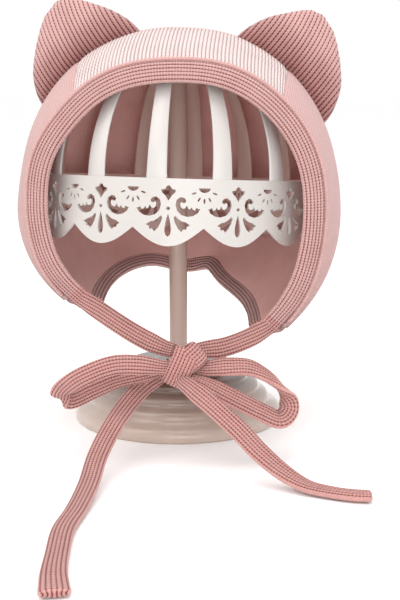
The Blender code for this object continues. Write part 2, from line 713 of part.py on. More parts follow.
def main():
    clear_scene()
    hat = make_collection("baby_hat_with_ears")
    materials = {
        "jersey": make_material("jersey", (0.76, 0.46, 0.44), 0.9),
        "rib": make_material("rib", (0.80, 0.52, 0.50), 0.9),
        "ear": make_material("ear_rib", (0.74, 0.42, 0.40), 0.9),
        "lining": make_material("lining", (0.55, 0.27, 0.27), 0.8),
        "binding": make_material("binding", (0.70, 0.38, 0.37), 0.9),
        "tie": make_material("tie", (0.70, 0.38, 0.37), 0.9),
        "metal": make_material("white_enamel", (0.92, 0.88, 0.86), 0.35),
        "plastic": make_material("foot_plastic", (0.85, 0.78, 0.75), 0.25),
    }
    cutters = make_collection("cutters")
    build_hat(materials, hat, cutters)
    build_ties(materials["tie"], hat, cutters)
    build_foot(materials["plastic"], hat)
    build_post(materials["metal"], hat)
    build_cage(materials["metal"], hat)


main()
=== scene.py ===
"""Looks of a knitted baby hat with ears, tied in a bow and held on a lace-edged hat stand."""

from __future__ import annotations

import logging
import math
from dataclasses import dataclass, field
from enum import Enum

import bmesh
import bpy
import numpy as np
from mathutils import Matrix, Vector
from mathutils.bvhtree import BVHTree


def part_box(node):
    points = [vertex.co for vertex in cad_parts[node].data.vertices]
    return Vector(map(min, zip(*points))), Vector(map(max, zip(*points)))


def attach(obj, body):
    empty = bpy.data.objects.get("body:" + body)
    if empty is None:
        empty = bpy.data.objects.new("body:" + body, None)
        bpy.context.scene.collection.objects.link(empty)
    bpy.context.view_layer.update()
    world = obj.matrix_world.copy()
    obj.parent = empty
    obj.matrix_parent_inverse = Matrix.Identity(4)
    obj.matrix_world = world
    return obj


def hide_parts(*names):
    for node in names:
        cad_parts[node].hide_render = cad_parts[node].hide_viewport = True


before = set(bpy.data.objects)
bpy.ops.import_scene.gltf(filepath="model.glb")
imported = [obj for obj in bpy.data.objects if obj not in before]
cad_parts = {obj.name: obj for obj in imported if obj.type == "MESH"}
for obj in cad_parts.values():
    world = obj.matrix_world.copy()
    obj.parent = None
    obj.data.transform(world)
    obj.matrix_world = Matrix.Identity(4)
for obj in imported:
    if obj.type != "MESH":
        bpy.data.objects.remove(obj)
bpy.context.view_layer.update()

LOG = logging.getLogger("baby_hat")
MM = 0.001
BODY = "root"

# How the hat sits on the dome: rolled and turned about a point, and shifted to the right
HAT_PIVOT_Z = 135 * MM
HAT_ROLL = math.radians(2.0)
HAT_YAW = math.radians(-2.6)
HAT_SHIFT = 2.2 * MM

# Spacing of the wales on bindings and ties in their knit's own millimetres
STRIP_RIB_MM = 1.4

# Name of the map that holds each knitted piece's across and along distances in millimetres
KNIT_MAP = "knit"

# Cuts of one lace bay, in shares of its width from the middle and of the band's height from
# the top. The star and the drop are halves, mirrored about the middle, and the scroll and the
# leaf lie on both sides of it.
LACE_STAR_HALF = ((0.0, -0.098), (0.032, -0.122), (0.046, -0.155), (0.102, -0.166), (0.094, -0.205),
                  (0.056, -0.240), (0.030, -0.280), (0.0, -0.325))
LACE_DROP_HALF = ((0.0, -0.52), (0.023, -0.60), (0.041, -0.70), (0.046, -0.77), (0.032, -0.83), (0.0, -0.86))
LACE_SCROLL = (
    (0.445, -0.437), (0.415, -0.498), (0.348, -0.545), (0.264, -0.560), (0.179, -0.532), (0.121, -0.468),
    (0.100, -0.385), (0.115, -0.311), (0.164, -0.271), (0.218, -0.280), (0.248, -0.318), (0.236, -0.352),
    (0.204, -0.358), (0.182, -0.340), (0.164, -0.369), (0.174, -0.418), (0.209, -0.443), (0.236, -0.432),
    (0.250, -0.402), (0.266, -0.402), (0.275, -0.436), (0.300, -0.452), (0.312, -0.424), (0.326, -0.420),
    (0.342, -0.450), (0.373, -0.462), (0.384, -0.430), (0.402, -0.424), (0.418, -0.440),
)
LACE_LEAF = (
    (0.078, -0.580), (0.100, -0.655), (0.140, -0.735), (0.190, -0.785), (0.216, -0.745), (0.256, -0.750),
    (0.266, -0.705), (0.308, -0.685), (0.246, -0.640), (0.192, -0.628), (0.145, -0.595), (0.098, -0.545),
)
# Oval cuts as their middle, half sizes and turn in radians: one eye to a bay, two petals on
# each side of it, and one bud between two bays, under an arch of the middle and half sizes given
LACE_EYE = ((0.0, -0.44), (0.026, 0.026), 0.0)
LACE_PETALS = (((0.352, -0.212), (0.036, 0.014), 0.35), ((0.425, -0.300), (0.036, 0.014), 1.05))
LACE_BUD = ((0.5, -0.325), (0.014, 0.040), 0.0)
LACE_ARCH = ((0.5, -0.135), (0.082, 0.065))


class Side(Enum):
    """The two sides of the hat, as its front shows them."""

    LEFT = -1
    RIGHT = 1

    @property
    def word(self) -> str:
        """The side's name in lower case."""
        return self.name.lower()


# Small mesh helpers


def linear(hex_colour: str) -> tuple[float, float, float, float]:
    """Turns an sRGB hex colour to linear RGBA.

    Args:
        hex_colour: six hex digits after a hash.

    Returns:
        The colour as linear red, green, blue and alpha.
    """
    values = [int(hex_colour[i:i + 2], 16) / 255 for i in (1, 3, 5)]
    channels = [v / 12.92 if v <= 0.04045 else ((v + 0.055) / 1.055) ** 2.4 for v in values]
    return (*channels, 1.0)


def unit(vectors: np.ndarray) -> np.ndarray:
    """Scales vectors along the last axis to length one."""
    length = np.linalg.norm(vectors, axis=-1, keepdims=True)
    return vectors / np.maximum(length, 1e-12)


def swell(distance: np.ndarray, reach: float) -> np.ndarray:
    """A smooth hump: 1 where the distance is 0, dying away past the reach."""
    return np.exp(-(distance / reach) ** 2)


def eased(share: np.ndarray) -> np.ndarray:
    """A share held between 0 and 1 that starts and ends gently."""
    share = np.clip(share, 0, 1)
    return share * share * (3 - 2 * share)


def smooth_rows(rows: np.ndarray, position: np.ndarray) -> np.ndarray:
    """Catmull-Rom between the rows of a table.

    Args:
        rows: one row for each section, one column for each value.
        position: where to read, counting rows from 0.

    Returns:
        One smoothed row for each position.
    """
    rows = np.asarray(rows, dtype=float)
    last = len(rows) - 1
    index = np.clip(np.asarray(position).astype(int), 0, last - 1)
    t = (np.asarray(position) - index)[..., None]
    a = rows[np.maximum(index - 1, 0)]
    b = rows[index]
    c = rows[index + 1]
    d = rows[np.minimum(index + 2, last)]
    return 0.5 * (2 * b + (c - a) * t + (2 * a - 5 * b + 4 * c - d) * t ** 2
                  + (3 * b - a - 3 * c + d) * t ** 3)


def seated(points: np.ndarray, directions: bool = False) -> np.ndarray:
    """Takes points from the hat's own frame to where the hat sits, turned and rolled on the dome.

    Args:
        points: points or directions, one to the last axis.
        directions: whether they are directions, which only turn.

    Returns:
        The seated points or directions.
    """
    turn = np.array(Matrix.Rotation(HAT_YAW, 3, "Z") @ Matrix.Rotation(HAT_ROLL, 3, "Y"))
    if directions:
        return points @ turn.T
    return (points - (0, 0, HAT_PIVOT_Z)) @ turn.T + (HAT_SHIFT, 0, HAT_PIVOT_Z)


def grid_faces(rows: int, columns: int, wrap: bool, first: int = 0, flip: bool = False) -> np.ndarray:
    """Quads of a grid of points, row by row.

    Args:
        rows: number of point rows.
        columns: number of points in a row.
        wrap: whether a row's last point joins its first.
        first: index of the grid's first point.
        flip: whether the quads face the other way.

    Returns:
        One quad to a line.
    """
    across = columns if wrap else columns - 1
    row, column = np.meshgrid(np.arange(rows - 1), np.arange(across), indexing="ij")
    after = (column + 1) % columns
    quads = np.stack((row * columns + column, row * columns + after,
                      (row + 1) * columns + after, (row + 1) * columns + column), axis=-1).reshape(-1, 4)
    quads = quads[:, ::-1] if flip else quads
    return quads + first


def tube_faces(rows: int, columns: int, first: int = 0) -> list:
    """Faces of a closed tube of rings.

    Args:
        rows: number of rings.
        columns: number of points in a ring.
        first: index of the tube's first point.

    Returns:
        The wall's quads, then the two end faces.
    """
    faces = list(grid_faces(rows, columns, True, first))
    for ring in (0, rows - 1):
        faces.append([first + ring * columns + point for point in range(columns)])
    return faces


def mesh_object(name: str, points: np.ndarray, faces: list, uv: np.ndarray | None,
                material: bpy.types.Material) -> bpy.types.Object:
    """Makes a smooth mesh object with a UV map in millimetres.

    Args:
        name: the piece's name.
        points: one point to a line, in metres.
        faces: quads as arrays, or longer faces as lists.
        uv: across and along distances of each point in millimetres.
        material: the piece's finish.

    Returns:
        The new object.
    """
    mesh = bpy.data.meshes.new(name)
    mesh.from_pydata(points.reshape(-1, 3).tolist(), [], [list(map(int, face)) for face in faces])
    mesh.update()
    if uv is not None:
        layer = mesh.uv_layers.new(name=KNIT_MAP)
        corners = np.empty(len(mesh.loops), dtype=np.int32)
        mesh.loops.foreach_get("vertex_index", corners)
        layer.data.foreach_set("uv", uv.reshape(-1, 2)[corners].astype(np.float32).ravel())
    bm = bmesh.new()
    bm.from_mesh(mesh)
    bmesh.ops.recalc_face_normals(bm, faces=bm.faces)
    bm.to_mesh(mesh)
    bm.free()
    mesh.shade_smooth()
    item = bpy.data.objects.new(name, mesh)
    item.data.materials.append(material)
    bpy.context.scene.collection.objects.link(item)
    return item


# Finishes


def wire(node: bpy.types.Node, links: dict, values: dict) -> None:
    """Sets a node's fixed values and incoming links.

    Args:
        node: the node.
        links: input name or index to the node, or the output socket, that feeds it.
        values: input name or index to its fixed value.
    """
    for key, value in values.items():
        node.inputs[key].default_value = value
    for key, source in links.items():
        socket = source.outputs[0] if isinstance(source, bpy.types.Node) else source
        node.id_data.links.new(socket, node.inputs[key])


def add_node(material: bpy.types.Material, kind: str, links: dict | None = None,
             values: dict | None = None, **settings) -> bpy.types.Node:
    """Adds a node with its settings, values and incoming links.

    Args:
        material: the material that gets the node.
        kind: the node's type.
        links: input name or index to the node, or the output socket, that feeds it.
        values: input name or index to its fixed value.
        settings: attributes of the node.

    Returns:
        The new node.
    """
    node = material.node_tree.nodes.new(kind)
    for key, value in settings.items():
        setattr(node, key, value)
    wire(node, links or {}, values or {})
    return node


def new_material(name: str) -> tuple[bpy.types.Material, bpy.types.Node]:
    """Makes an empty node material.

    Args:
        name: the finish's name.

    Returns:
        The material and its Principled shader.
    """
    material = bpy.data.materials.new(name)
    material.use_nodes = True
    return material, material.node_tree.nodes["Principled BSDF"]


@dataclass(frozen=True)
class KnittedCotton:
    """Cotton yarn knitted on a machine: matt, soft at the edges, with rows of V-shaped stitches.

    rib_mm is the spacing of the wales, stitch_mm that of the courses. Both are near the real
    gauge of a baby bonnet, drawn a little coarse so that the wales still show in the render.
    """

    name: str
    # raised colours the wales' tops; sunk is the darker colour of the painted shade in grooves and holes, and
    # the dark end of the dye's blotches
    raised: str
    sunk: str
    rib_mm: float
    stitch_mm: float
    relief_mm: float
    groove_share: float = 0.5
    dots: float = 0.6
    mottle: float = 0.10
    # Painted shade added at the cloth's root, and how far up it reaches
    root_painted_shade: float = 0.0
    root_mm: float = 20.0
    # Colour that tints the cloth towards its far end, and where it starts and is full; nearer the brow the
    # cloth is left paler as painted light
    painted_nape_shade: str = ""
    painted_nape_shade_from_mm: float = 25.0
    painted_nape_shade_to_mm: float = 85.0
    # How many courses a leg climbs across a wale, and the power that rounds the wale's top
    leg_climb: float = 1.1
    wale_power: float = 0.6
    # Painted shade of the hole between two stitches, and how much of it the leg takes away
    hole_shade: float = 1.40
    leg_shade: float = 1.15
    # Fuzz and blotches to a millimetre, and the fuzz's share of the height
    fuzz_per_mm: float = 2.2
    blotch_per_mm: float = 0.07
    fuzz_height: float = 0.5

    def build(self) -> bpy.types.Material:
        """Builds the material.

        Returns:
            The knitted material.
        """
        material, shader = new_material(self.name)
        place = add_node(material, "ShaderNodeUVMap", uv_map=KNIT_MAP)
        split = add_node(material, "ShaderNodeSeparateXYZ", {0: place})
        wale = add_node(material, "ShaderNodeMath", {0: split}, {1: 1 / self.rib_mm}, operation="MULTIPLY")
        from_middle = add_node(material, "ShaderNodeMath", {0: wale}, {1: 0.5}, operation="PINGPONG")
        # A stitch's two legs climb from the groove to the middle of the wale
        course = add_node(material, "ShaderNodeMath", {0: split.outputs[1]}, {1: 1 / self.stitch_mm},
                          operation="MULTIPLY")
        climb = add_node(material, "ShaderNodeMath", {0: from_middle, 2: course}, {1: self.leg_climb},
                         operation="MULTIPLY_ADD")
        leg = add_node(material, "ShaderNodeMath", {0: climb}, {1: 0.5}, operation="PINGPONG")
        leg_height = add_node(material, "ShaderNodeMath", {0: leg}, {1: 2.0}, operation="MULTIPLY")
        wale_height = add_node(material, "ShaderNodeMath", {0: from_middle}, {1: -2.0, 2: 1.0},
                               operation="MULTIPLY_ADD")
        rounded = add_node(material, "ShaderNodeMath", {0: wale_height}, {1: self.wale_power},
                           operation="POWER")
        fuzz = add_node(material, "ShaderNodeTexNoise", {0: place},
                        {"Scale": self.fuzz_per_mm, "Detail": 3.0, "Roughness": 0.65}, noise_dimensions="2D")
        blotch = add_node(material, "ShaderNodeTexNoise", {0: place},
                          {"Scale": self.blotch_per_mm, "Detail": 2.0}, noise_dimensions="2D")
        stitches = add_node(material, "ShaderNodeMath", {0: leg_height, 2: rounded}, {1: self.dots},
                            operation="MULTIPLY_ADD")
        height = add_node(material, "ShaderNodeMath", {0: fuzz, 2: stitches}, {1: self.fuzz_height},
                          operation="MULTIPLY_ADD")
        bump = add_node(material, "ShaderNodeBump", {"Height": height},
                        {"Strength": 1.0, "Distance": self.relief_mm * MM})
        # Painted shade: the groove between wales and the holes between courses are painted darker
        groove = add_node(material, "ShaderNodeMapRange", {0: from_middle},
                          {1: 0.5 - 0.5 * self.groove_share, 2: 0.5, 3: 0.0, 4: 1.0},
                          interpolation_type="SMOOTHSTEP")
        hole = add_node(material, "ShaderNodeMath", {0: leg_height}, {1: -self.leg_shade, 2: self.hole_shade},
                        operation="MULTIPLY_ADD")
        shade = add_node(material, "ShaderNodeMath", {0: groove, 1: hole}, operation="MULTIPLY")
        # Yarn is never dyed quite evenly: blotches and fuzz shift the shade about its mean
        uneven = add_node(material, "ShaderNodeMath", {0: blotch, 1: fuzz}, operation="ADD")
        wash = add_node(material, "ShaderNodeMath", {0: uneven}, {1: 3 * self.mottle, 2: -3 * self.mottle},
                        operation="MULTIPLY_ADD")
        shade = add_node(material, "ShaderNodeMath", {0: shade, 1: wash}, operation="ADD")
        if self.root_painted_shade:
            # Painted shade: the cloth is painted darker where it gathers into its seam and lies in shade
            root = add_node(material, "ShaderNodeMapRange", {0: split.outputs[1]},
                            {1: 0.0, 2: self.root_mm, 3: self.root_painted_shade, 4: 0.0},
                            interpolation_type="SMOOTHSTEP")
            shade = add_node(material, "ShaderNodeMath", {0: shade, 1: root}, operation="ADD")
        colour = add_node(material, "ShaderNodeMix", {0: shade},
                          {6: linear(self.raised), 7: linear(self.sunk)}, data_type="RGBA", clamp_factor=True)
        if self.painted_nape_shade:
            # Painted light: the cloth is painted palest over the brow, where the light falls strongest, and
            # has its full colour at the nape
            back = add_node(material, "ShaderNodeMapRange", {0: split.outputs[1]},
                            {1: self.painted_nape_shade_from_mm, 2: self.painted_nape_shade_to_mm, 3: 0.0, 4: 1.0},
                            interpolation_type="SMOOTHSTEP")
            colour = add_node(material, "ShaderNodeMix", {0: back, 6: colour.outputs[2]},
                              {7: linear(self.painted_nape_shade)}, data_type="RGBA", blend_type="MULTIPLY")
        wire(shader, {"Base Color": colour.outputs[2], "Normal": bump},
             {"Roughness": 0.92, "Sheen Weight": 0.2, "Sheen Roughness": 0.45, "Specular IOR Level": 0.25})
        return material


@dataclass(frozen=True)
class StovedEnamel:
    """Enamel sprayed on sheet steel and stoved: a soft gloss, with a faint orange peel."""

    name: str
    colour: str
    second: str
    roughness: float
    peel_mm: float = 1.6
    peel_depth_mm: float = 0.05
    tones_per_m: float = 40.0
    # Painted shade at the back, and where it starts and is full, front to back
    rear_painted_shade: str = ""
    rear_painted_shade_from: float = -10 * MM
    rear_painted_shade_to: float = 25 * MM

    def build(self) -> bpy.types.Material:
        """Builds the enamel.

        Returns:
            The enamel material.
        """
        material, shader = new_material(self.name)
        place = add_node(material, "ShaderNodeTexCoord").outputs["Object"]
        peel = add_node(material, "ShaderNodeTexNoise", {0: place},
                        {"Scale": 1 / (self.peel_mm * MM), "Detail": 1.0})
        tone = add_node(material, "ShaderNodeTexNoise", {0: place},
                        {"Scale": self.tones_per_m, "Detail": 2.0})
        bump = add_node(material, "ShaderNodeBump", {"Height": peel},
                        {"Strength": 0.25, "Distance": self.peel_depth_mm * MM})
        colour = add_node(material, "ShaderNodeMix", {0: tone},
                          {6: linear(self.colour), 7: linear(self.second)}, data_type="RGBA")
        if self.rear_painted_shade:
            # Painted shade and reflection: the strips at the back are painted darker and pinker, for the
            # hat's shade and the pink light its cloth throws on them
            split = add_node(material, "ShaderNodeSeparateXYZ", {0: place})
            back = add_node(material, "ShaderNodeMapRange", {0: split.outputs[1]},
                            {1: self.rear_painted_shade_from, 2: self.rear_painted_shade_to, 3: 0.0, 4: 1.0},
                            interpolation_type="SMOOTHSTEP")
            colour = add_node(material, "ShaderNodeMix", {0: back, 6: colour.outputs[2]},
                              {7: linear(self.rear_painted_shade)}, data_type="RGBA")
        wire(shader, {"Base Color": colour.outputs[2], "Normal": bump},
             {"Roughness": self.roughness, "Coat Weight": 0.35, "Coat Roughness": 0.2})
        return material


@dataclass(frozen=True)
class MouldedAcrylic:
    """Off-white acrylic, moulded and polished: a wet gloss over a slightly cloudy body."""

    name: str
    colour: str
    shade: str
    # Painted shade by the post, and where it is full and gone, outwards
    core_painted_shade: str
    core_painted_shade_from: float = 30 * MM
    core_painted_shade_to: float = 58 * MM
    clouds_per_m: float = 28.0

    def build(self) -> bpy.types.Material:
        """Builds the acrylic.

        Returns:
            The acrylic material.
        """
        material, shader = new_material(self.name)
        place = add_node(material, "ShaderNodeTexCoord").outputs["Object"]
        cloud = add_node(material, "ShaderNodeTexNoise", {0: place},
                         {"Scale": self.clouds_per_m, "Detail": 3.0, "Distortion": 0.8})
        colour = add_node(material, "ShaderNodeMix", {0: cloud},
                          {6: linear(self.colour), 7: linear(self.shade)}, data_type="RGBA")
        # Painted shade: the foot is painted darker towards the post, where the hat and its ties shade it
        flat = add_node(material, "ShaderNodeVectorMath", {0: place}, {1: (1.0, 1.0, 0.0)},
                        operation="MULTIPLY")
        reach = add_node(material, "ShaderNodeVectorMath", {0: flat}, operation="LENGTH")
        depth = add_node(material, "ShaderNodeMapRange", {0: reach.outputs["Value"]},
                         {1: self.core_painted_shade_from, 2: self.core_painted_shade_to, 3: 1.0, 4: 0.0},
                         interpolation_type="SMOOTHSTEP")
        body = add_node(material, "ShaderNodeMix", {0: depth, 6: colour.outputs[2]}, {7: linear(self.core_painted_shade)},
                        data_type="RGBA")
        wire(shader, {"Base Color": body.outputs[2]},
             {"Roughness": 0.24, "IOR": 1.49, "Coat Weight": 0.5, "Coat Roughness": 0.22})
        return material


# The hat's surface


@dataclass
class HatForm:
    """Outer surface of the hat: sections swing round a line between the cheek corners.

    swing runs from 0 at the face edge to 1 at the neck edge, along from -1 at the left
    cheek corner to 1 at the right one. Each row holds an angle above the level back in
    degrees, reach and widest as shares of the reach, and half_width and seam as shares
    of the half width.
    """

    # The cheek corners, from which the sections swing, and the rounding of the sections there
    corner_half: float = 42 * MM
    corner_y: float = -48 * MM
    corner_z: float = 66 * MM
    corner_round: float = 7 * MM
    # Longest reach of a section and its greatest half width
    reach: float = 161 * MM
    half_width: float = 83.4 * MM
    # Power that squares a section's arch, 2 being an ellipse, and how far its middle sinks
    crown_power: float = 2.15
    crown_flat: float = 1.2 * MM
    crown_flat_half: float = 25 * MM
    # How far the left and right cheek corners hang and spread
    cheek_droop: tuple[float, float] = (3.0 * MM, 12.0 * MM)
    cheek_spread: tuple[float, float] = (0.0, 3.4 * MM)
    # How far the nape's middle dips, over what half width, and the swing from which it does
    nape_dip: float = 4.5 * MM
    nape_dip_half: float = 16 * MM
    nape_dip_from: float = 0.7
    # Depth of the soft dents
    drape: float = 0.9 * MM
    # How the face edge rides up or sags: along value, reach along it, height in metres
    edge_rides: tuple = ((-0.40, 0.13, -2.4 * MM), (0.08, 0.20, 1.6 * MM))
    edge_depth: float = 0.10
    # How the cheeks draw in: along value, reach along it, reach back and depth in metres
    cheek_hug: tuple = (0.72, 0.16, 0.45, 2.4 * MM)
    # The fold at the nape's right: along value, reach along it, inward and down in metres
    nape_fold: tuple = (0.52, 0.25, 9.5 * MM, 3.5 * MM)
    fold_from: float = 0.72
    # Step for reading directions off the surface
    step: float = 0.004
    # From the face edge to the neck edge
    sections: tuple = (
        (92.5, 0.770, 0.305, 0.902, 0.601),
        (86.0, 0.826, 0.315, 0.930, 0.616),
        (79.0, 0.880, 0.325, 0.956, 0.629),
        (71.0, 0.926, 0.335, 0.982, 0.631),
        (60.0, 0.970, 0.350, 1.000, 0.610),
        (48.0, 0.988, 0.400, 0.995, 0.560),
        (34.0, 0.970, 0.450, 0.965, 0.490),
        (21.5, 0.902, 0.440, 0.865, 0.400),
        (12.5, 0.820, 0.350, 0.710, 0.310),
        (6.0, 0.748, 0.220, 0.535, 0.250),
    )

    def section(self, swing: np.ndarray) -> dict[str, np.ndarray]:
        """The section's sizes at each swing.

        Args:
            swing: 0 at the face edge, 1 at the neck edge.

        Returns:
            Named sizes in metres and radians.
        """
        row = smooth_rows(np.array(self.sections), np.asarray(swing) * (len(self.sections) - 1))
        widest = row[..., 2] * self.reach
        half_width = row[..., 3] * self.half_width
        drop = widest / np.sqrt(1 - (self.corner_half / half_width) ** 2)
        return {
            "angle": np.radians(row[..., 0]),
            "reach": row[..., 1] * self.reach,
            "widest": widest,
            "half_width": half_width,
            "seam": row[..., 4] * self.half_width,
            "drop": drop,
            "end": -np.arcsin((widest - self.corner_round) / drop),
        }

    def plain(self, swing: np.ndarray, along: np.ndarray) -> np.ndarray:
        """Points of the surface before it drapes.

        Args:
            swing: 0 at the face edge, 1 at the neck edge.
            along: -1 at the left corner, 1 at the right one.

        Returns:
            The points in the hat's own frame.
        """
        s = self.section(swing)
        turn = math.pi / 2 - np.abs(along) * (math.pi / 2 - s["end"])
        x = s["half_width"] * np.cos(turn)
        arch = (1 - np.abs(np.cos(turn)) ** self.crown_power) ** (1 / self.crown_power)
        over = s["widest"] + (s["reach"] - s["widest"]) * arch
        over = over - self.crown_flat * swell(x, self.crown_flat_half)
        radius = np.where(turn > 0, over, s["widest"] + s["drop"] * np.sin(turn))
        radius = radius + swell(swing, self.edge_depth) * sum(
            rise * swell(along - middle, reach) for middle, reach, rise in self.edge_rides)
        hang = np.abs(along) ** 3
        droop = np.where(along < 0, *self.cheek_droop) * hang
        spread = np.where(along < 0, *self.cheek_spread) * hang
        middle, reach, back, depth = self.cheek_hug
        hug = depth * swell(np.abs(along) - middle, reach) * swell(swing, back)
        middle, reach, inward, down = self.nape_fold
        fold = (np.maximum(swing - self.fold_from, 0) / (1 - self.fold_from)) ** 1.5
        fold = fold * swell(along - middle, reach)
        late = np.maximum(swing - self.nape_dip_from, 0) / (1 - self.nape_dip_from)
        dip = self.nape_dip * late ** 2 * swell(x, self.nape_dip_half)
        return np.stack((np.where(along < 0, -1, 1) * (x + spread - hug) - inward * fold,
                         self.corner_y + radius * np.cos(s["angle"]),
                         self.corner_z + radius * np.sin(s["angle"]) - droop - dip - down * fold), axis=-1)

    def frame(self, swing: np.ndarray, along: np.ndarray) -> tuple[np.ndarray, np.ndarray, np.ndarray]:
        """Directions on the surface.

        Args:
            swing: 0 at the face edge, 1 at the neck edge.
            along: -1 at the left corner, 1 at the right one.

        Returns:
            Unit vectors across to the right, back towards the neck, and outwards.
        """
        across = unit(self.plain(swing, np.minimum(along + self.step, 1))
                      - self.plain(swing, np.maximum(along - self.step, -1)))
        back = unit(self.plain(np.minimum(swing + self.step, 1), along)
                    - self.plain(np.maximum(swing - self.step, 0), along))
        normal = unit(np.cross(across, back))
        outward = self.plain(swing, along) - np.array((0, 0, HAT_PIVOT_Z))
        flip = np.where(np.sum(normal * outward, axis=-1, keepdims=True) < 0, -1.0, 1.0)
        return across, back, normal * flip

    def soft(self, swing: np.ndarray, along: np.ndarray) -> np.ndarray:
        """Height of the soft dents that the cloth takes as it hangs.

        Args:
            swing: 0 at the face edge, 1 at the neck edge.
            along: -1 at the left corner, 1 at the right one.

        Returns:
            Heights in metres.
        """
        # Waves of unlike lengths, so that no two dents are the same
        wave = (np.sin(9.0 * swing + 4.0 * along + 0.6) * np.sin(7.5 * along - 3.0 * swing)
                + 0.6 * np.sin(15.0 * along + 6.0 * swing) * np.sin(5.0 * swing + 1.0)
                + 0.5 * np.sin(22.0 * swing - 7.0 * along))
        # The dents start behind the face edge, which its binding holds smooth
        edge = np.sin(np.pi * np.clip(swing * 1.6, 0, 1) / 2) ** 2 * (1 - 0.5 * swing)
        return self.drape * wave * edge

    def points(self, swing: np.ndarray, along: np.ndarray, height: np.ndarray | float = 0.0) -> np.ndarray:
        """Points of the draped surface, seated on the dome.

        Args:
            swing: 0 at the face edge, 1 at the neck edge.
            along: -1 at the left corner, 1 at the right one.
            height: distance out from the surface in metres.

        Returns:
            The points in the frame of the part.
        """
        normal = self.frame(swing, along)[2]
        lift = np.asarray(height + self.soft(swing, along))
        return seated(self.plain(swing, along) + normal * lift[..., None])

    def seam_along(self, swing: np.ndarray) -> np.ndarray:
        """Where the panels' seam runs.

        Args:
            swing: 0 at the face edge, 1 at the neck edge.

        Returns:
            The right seam's along values; the left seam's are their opposites.
        """
        s = self.section(swing)
        turn = np.arccos(s["seam"] / s["half_width"])
        return (math.pi / 2 - turn) / (math.pi / 2 - s["end"])


@dataclass
class Panels:
    """The knitted panels and the lining under them."""

    form: HatForm
    finishes: dict[str, bpy.types.Material]
    wall: float = 2.0 * MM
    # Room between the panels and the lining, and half the room between two panels
    gap: float = 0.3 * MM
    seam_gap: float = 0.06 * MM
    lining_wall: float = 1.0 * MM
    rib_mm: float = 1.9
    rib_height: float = 0.32 * MM
    # Share of a wale's height that lies under the cloth's mean face
    rib_sink: float = 0.6
    rows: int = 110
    centre_columns: int = 340
    side_columns: int = 160
    lining_columns: int = 200
    # How far the cloth dips into a seam, and from how near
    seam_roll: float = 0.6 * MM
    seam_reach: float = 1.8 * MM

    def cloth(self, name: str, low: np.ndarray, high: np.ndarray, columns: int, top: float,
              wall: float, ribbed: bool, rolled_edges: tuple[bool, bool],
              material: bpy.types.Material) -> bpy.types.Object:
        """Builds a closed knitted sheet between two along limits.

        Args:
            name: the piece's name.
            low: along value of the left edge for each row.
            high: along value of the right edge for each row.
            columns: number of points across.
            top: height of the outer face over the hat's surface.
            wall: thickness.
            ribbed: whether the outer face has raised wales.
            rolled_edges: whether the left and right edges dip into a seam.
            material: the finish.

        Returns:
            The new object.
        """
        swing = np.linspace(0, 1, self.rows)[:, None] * np.ones((1, columns))
        share = np.linspace(0, 1, columns)[None, :]
        along = low[:, None] + (high - low)[:, None] * share
        base = self.form.plain(swing, along)
        steps = np.linalg.norm(np.diff(base, axis=1), axis=-1)
        distance = np.concatenate((np.zeros((self.rows, 1)), np.cumsum(steps, axis=1)), axis=1)
        middle = np.argmin(np.abs(along), axis=1)
        across = distance - distance[np.arange(self.rows), middle][:, None]
        down = np.linalg.norm(np.diff(base[:, columns // 2], axis=0), axis=-1)
        down = np.concatenate(([0], np.cumsum(down)))[:, None] * np.ones((1, columns))
        uv = np.stack((across, down), axis=-1) / MM
        height = np.full_like(along, top)
        if ribbed:
            height += self.rib_height * (np.abs(np.cos(np.pi * across / (self.rib_mm * MM))) - self.rib_sink)
        for active, reach in zip(rolled_edges, (distance, distance[:, -1:] - distance)):
            if active:
                height -= self.seam_roll * swell(reach, self.seam_reach)
        outer = self.form.points(swing, along, height)
        inner = self.form.points(swing, along, top - wall)
        count = self.rows * columns
        index = np.arange(count).reshape(self.rows, columns)
        rim = np.concatenate((index[0], index[1:, -1], index[-1, -2::-1], index[-2:0:-1, 0]))
        sides = np.stack((rim, np.roll(rim, -1), np.roll(rim, -1) + count, rim + count), axis=-1)
        faces = np.concatenate((grid_faces(self.rows, columns, False),
                                grid_faces(self.rows, columns, False, count, True), sides))
        points = np.concatenate((outer.reshape(-1, 3), inner.reshape(-1, 3)))
        return mesh_object(name, points, faces, np.concatenate((uv.reshape(-1, 2),) * 2), material)

    def build(self) -> list[bpy.types.Object]:
        """Builds the three panels and the lining.

        Returns:
            The pieces.
        """
        swing = np.linspace(0, 1, self.rows)
        seam = self.form.seam_along(swing)
        gap = self.seam_gap / self.form.reach
        ones = np.ones(self.rows)
        pieces = []
        centre = self.cloth("rib_centre_panel", -seam + gap, seam - gap, self.centre_columns, 0.0,
                            self.wall, True, (True, True), self.finishes["rib"])
        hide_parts("centre_panel")
        pieces.append(centre)
        for side in Side:
            low, high = (-ones, -seam - gap) if side is Side.LEFT else (seam + gap, ones)
            piece = self.cloth(f"jersey_side_{side.word}", low, high, self.side_columns, 0.0, self.wall,
                               False, (side is Side.RIGHT, side is Side.LEFT), self.finishes["jersey"])
            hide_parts(f"side_panel_{side.word}")
            pieces.append(piece)
        lining = self.cloth("inner_lining", -ones, ones, self.lining_columns, -self.wall - self.gap,
                            self.lining_wall, False, (False, False), self.finishes["lining"])
        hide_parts("lining")
        pieces.append(lining)
        return pieces


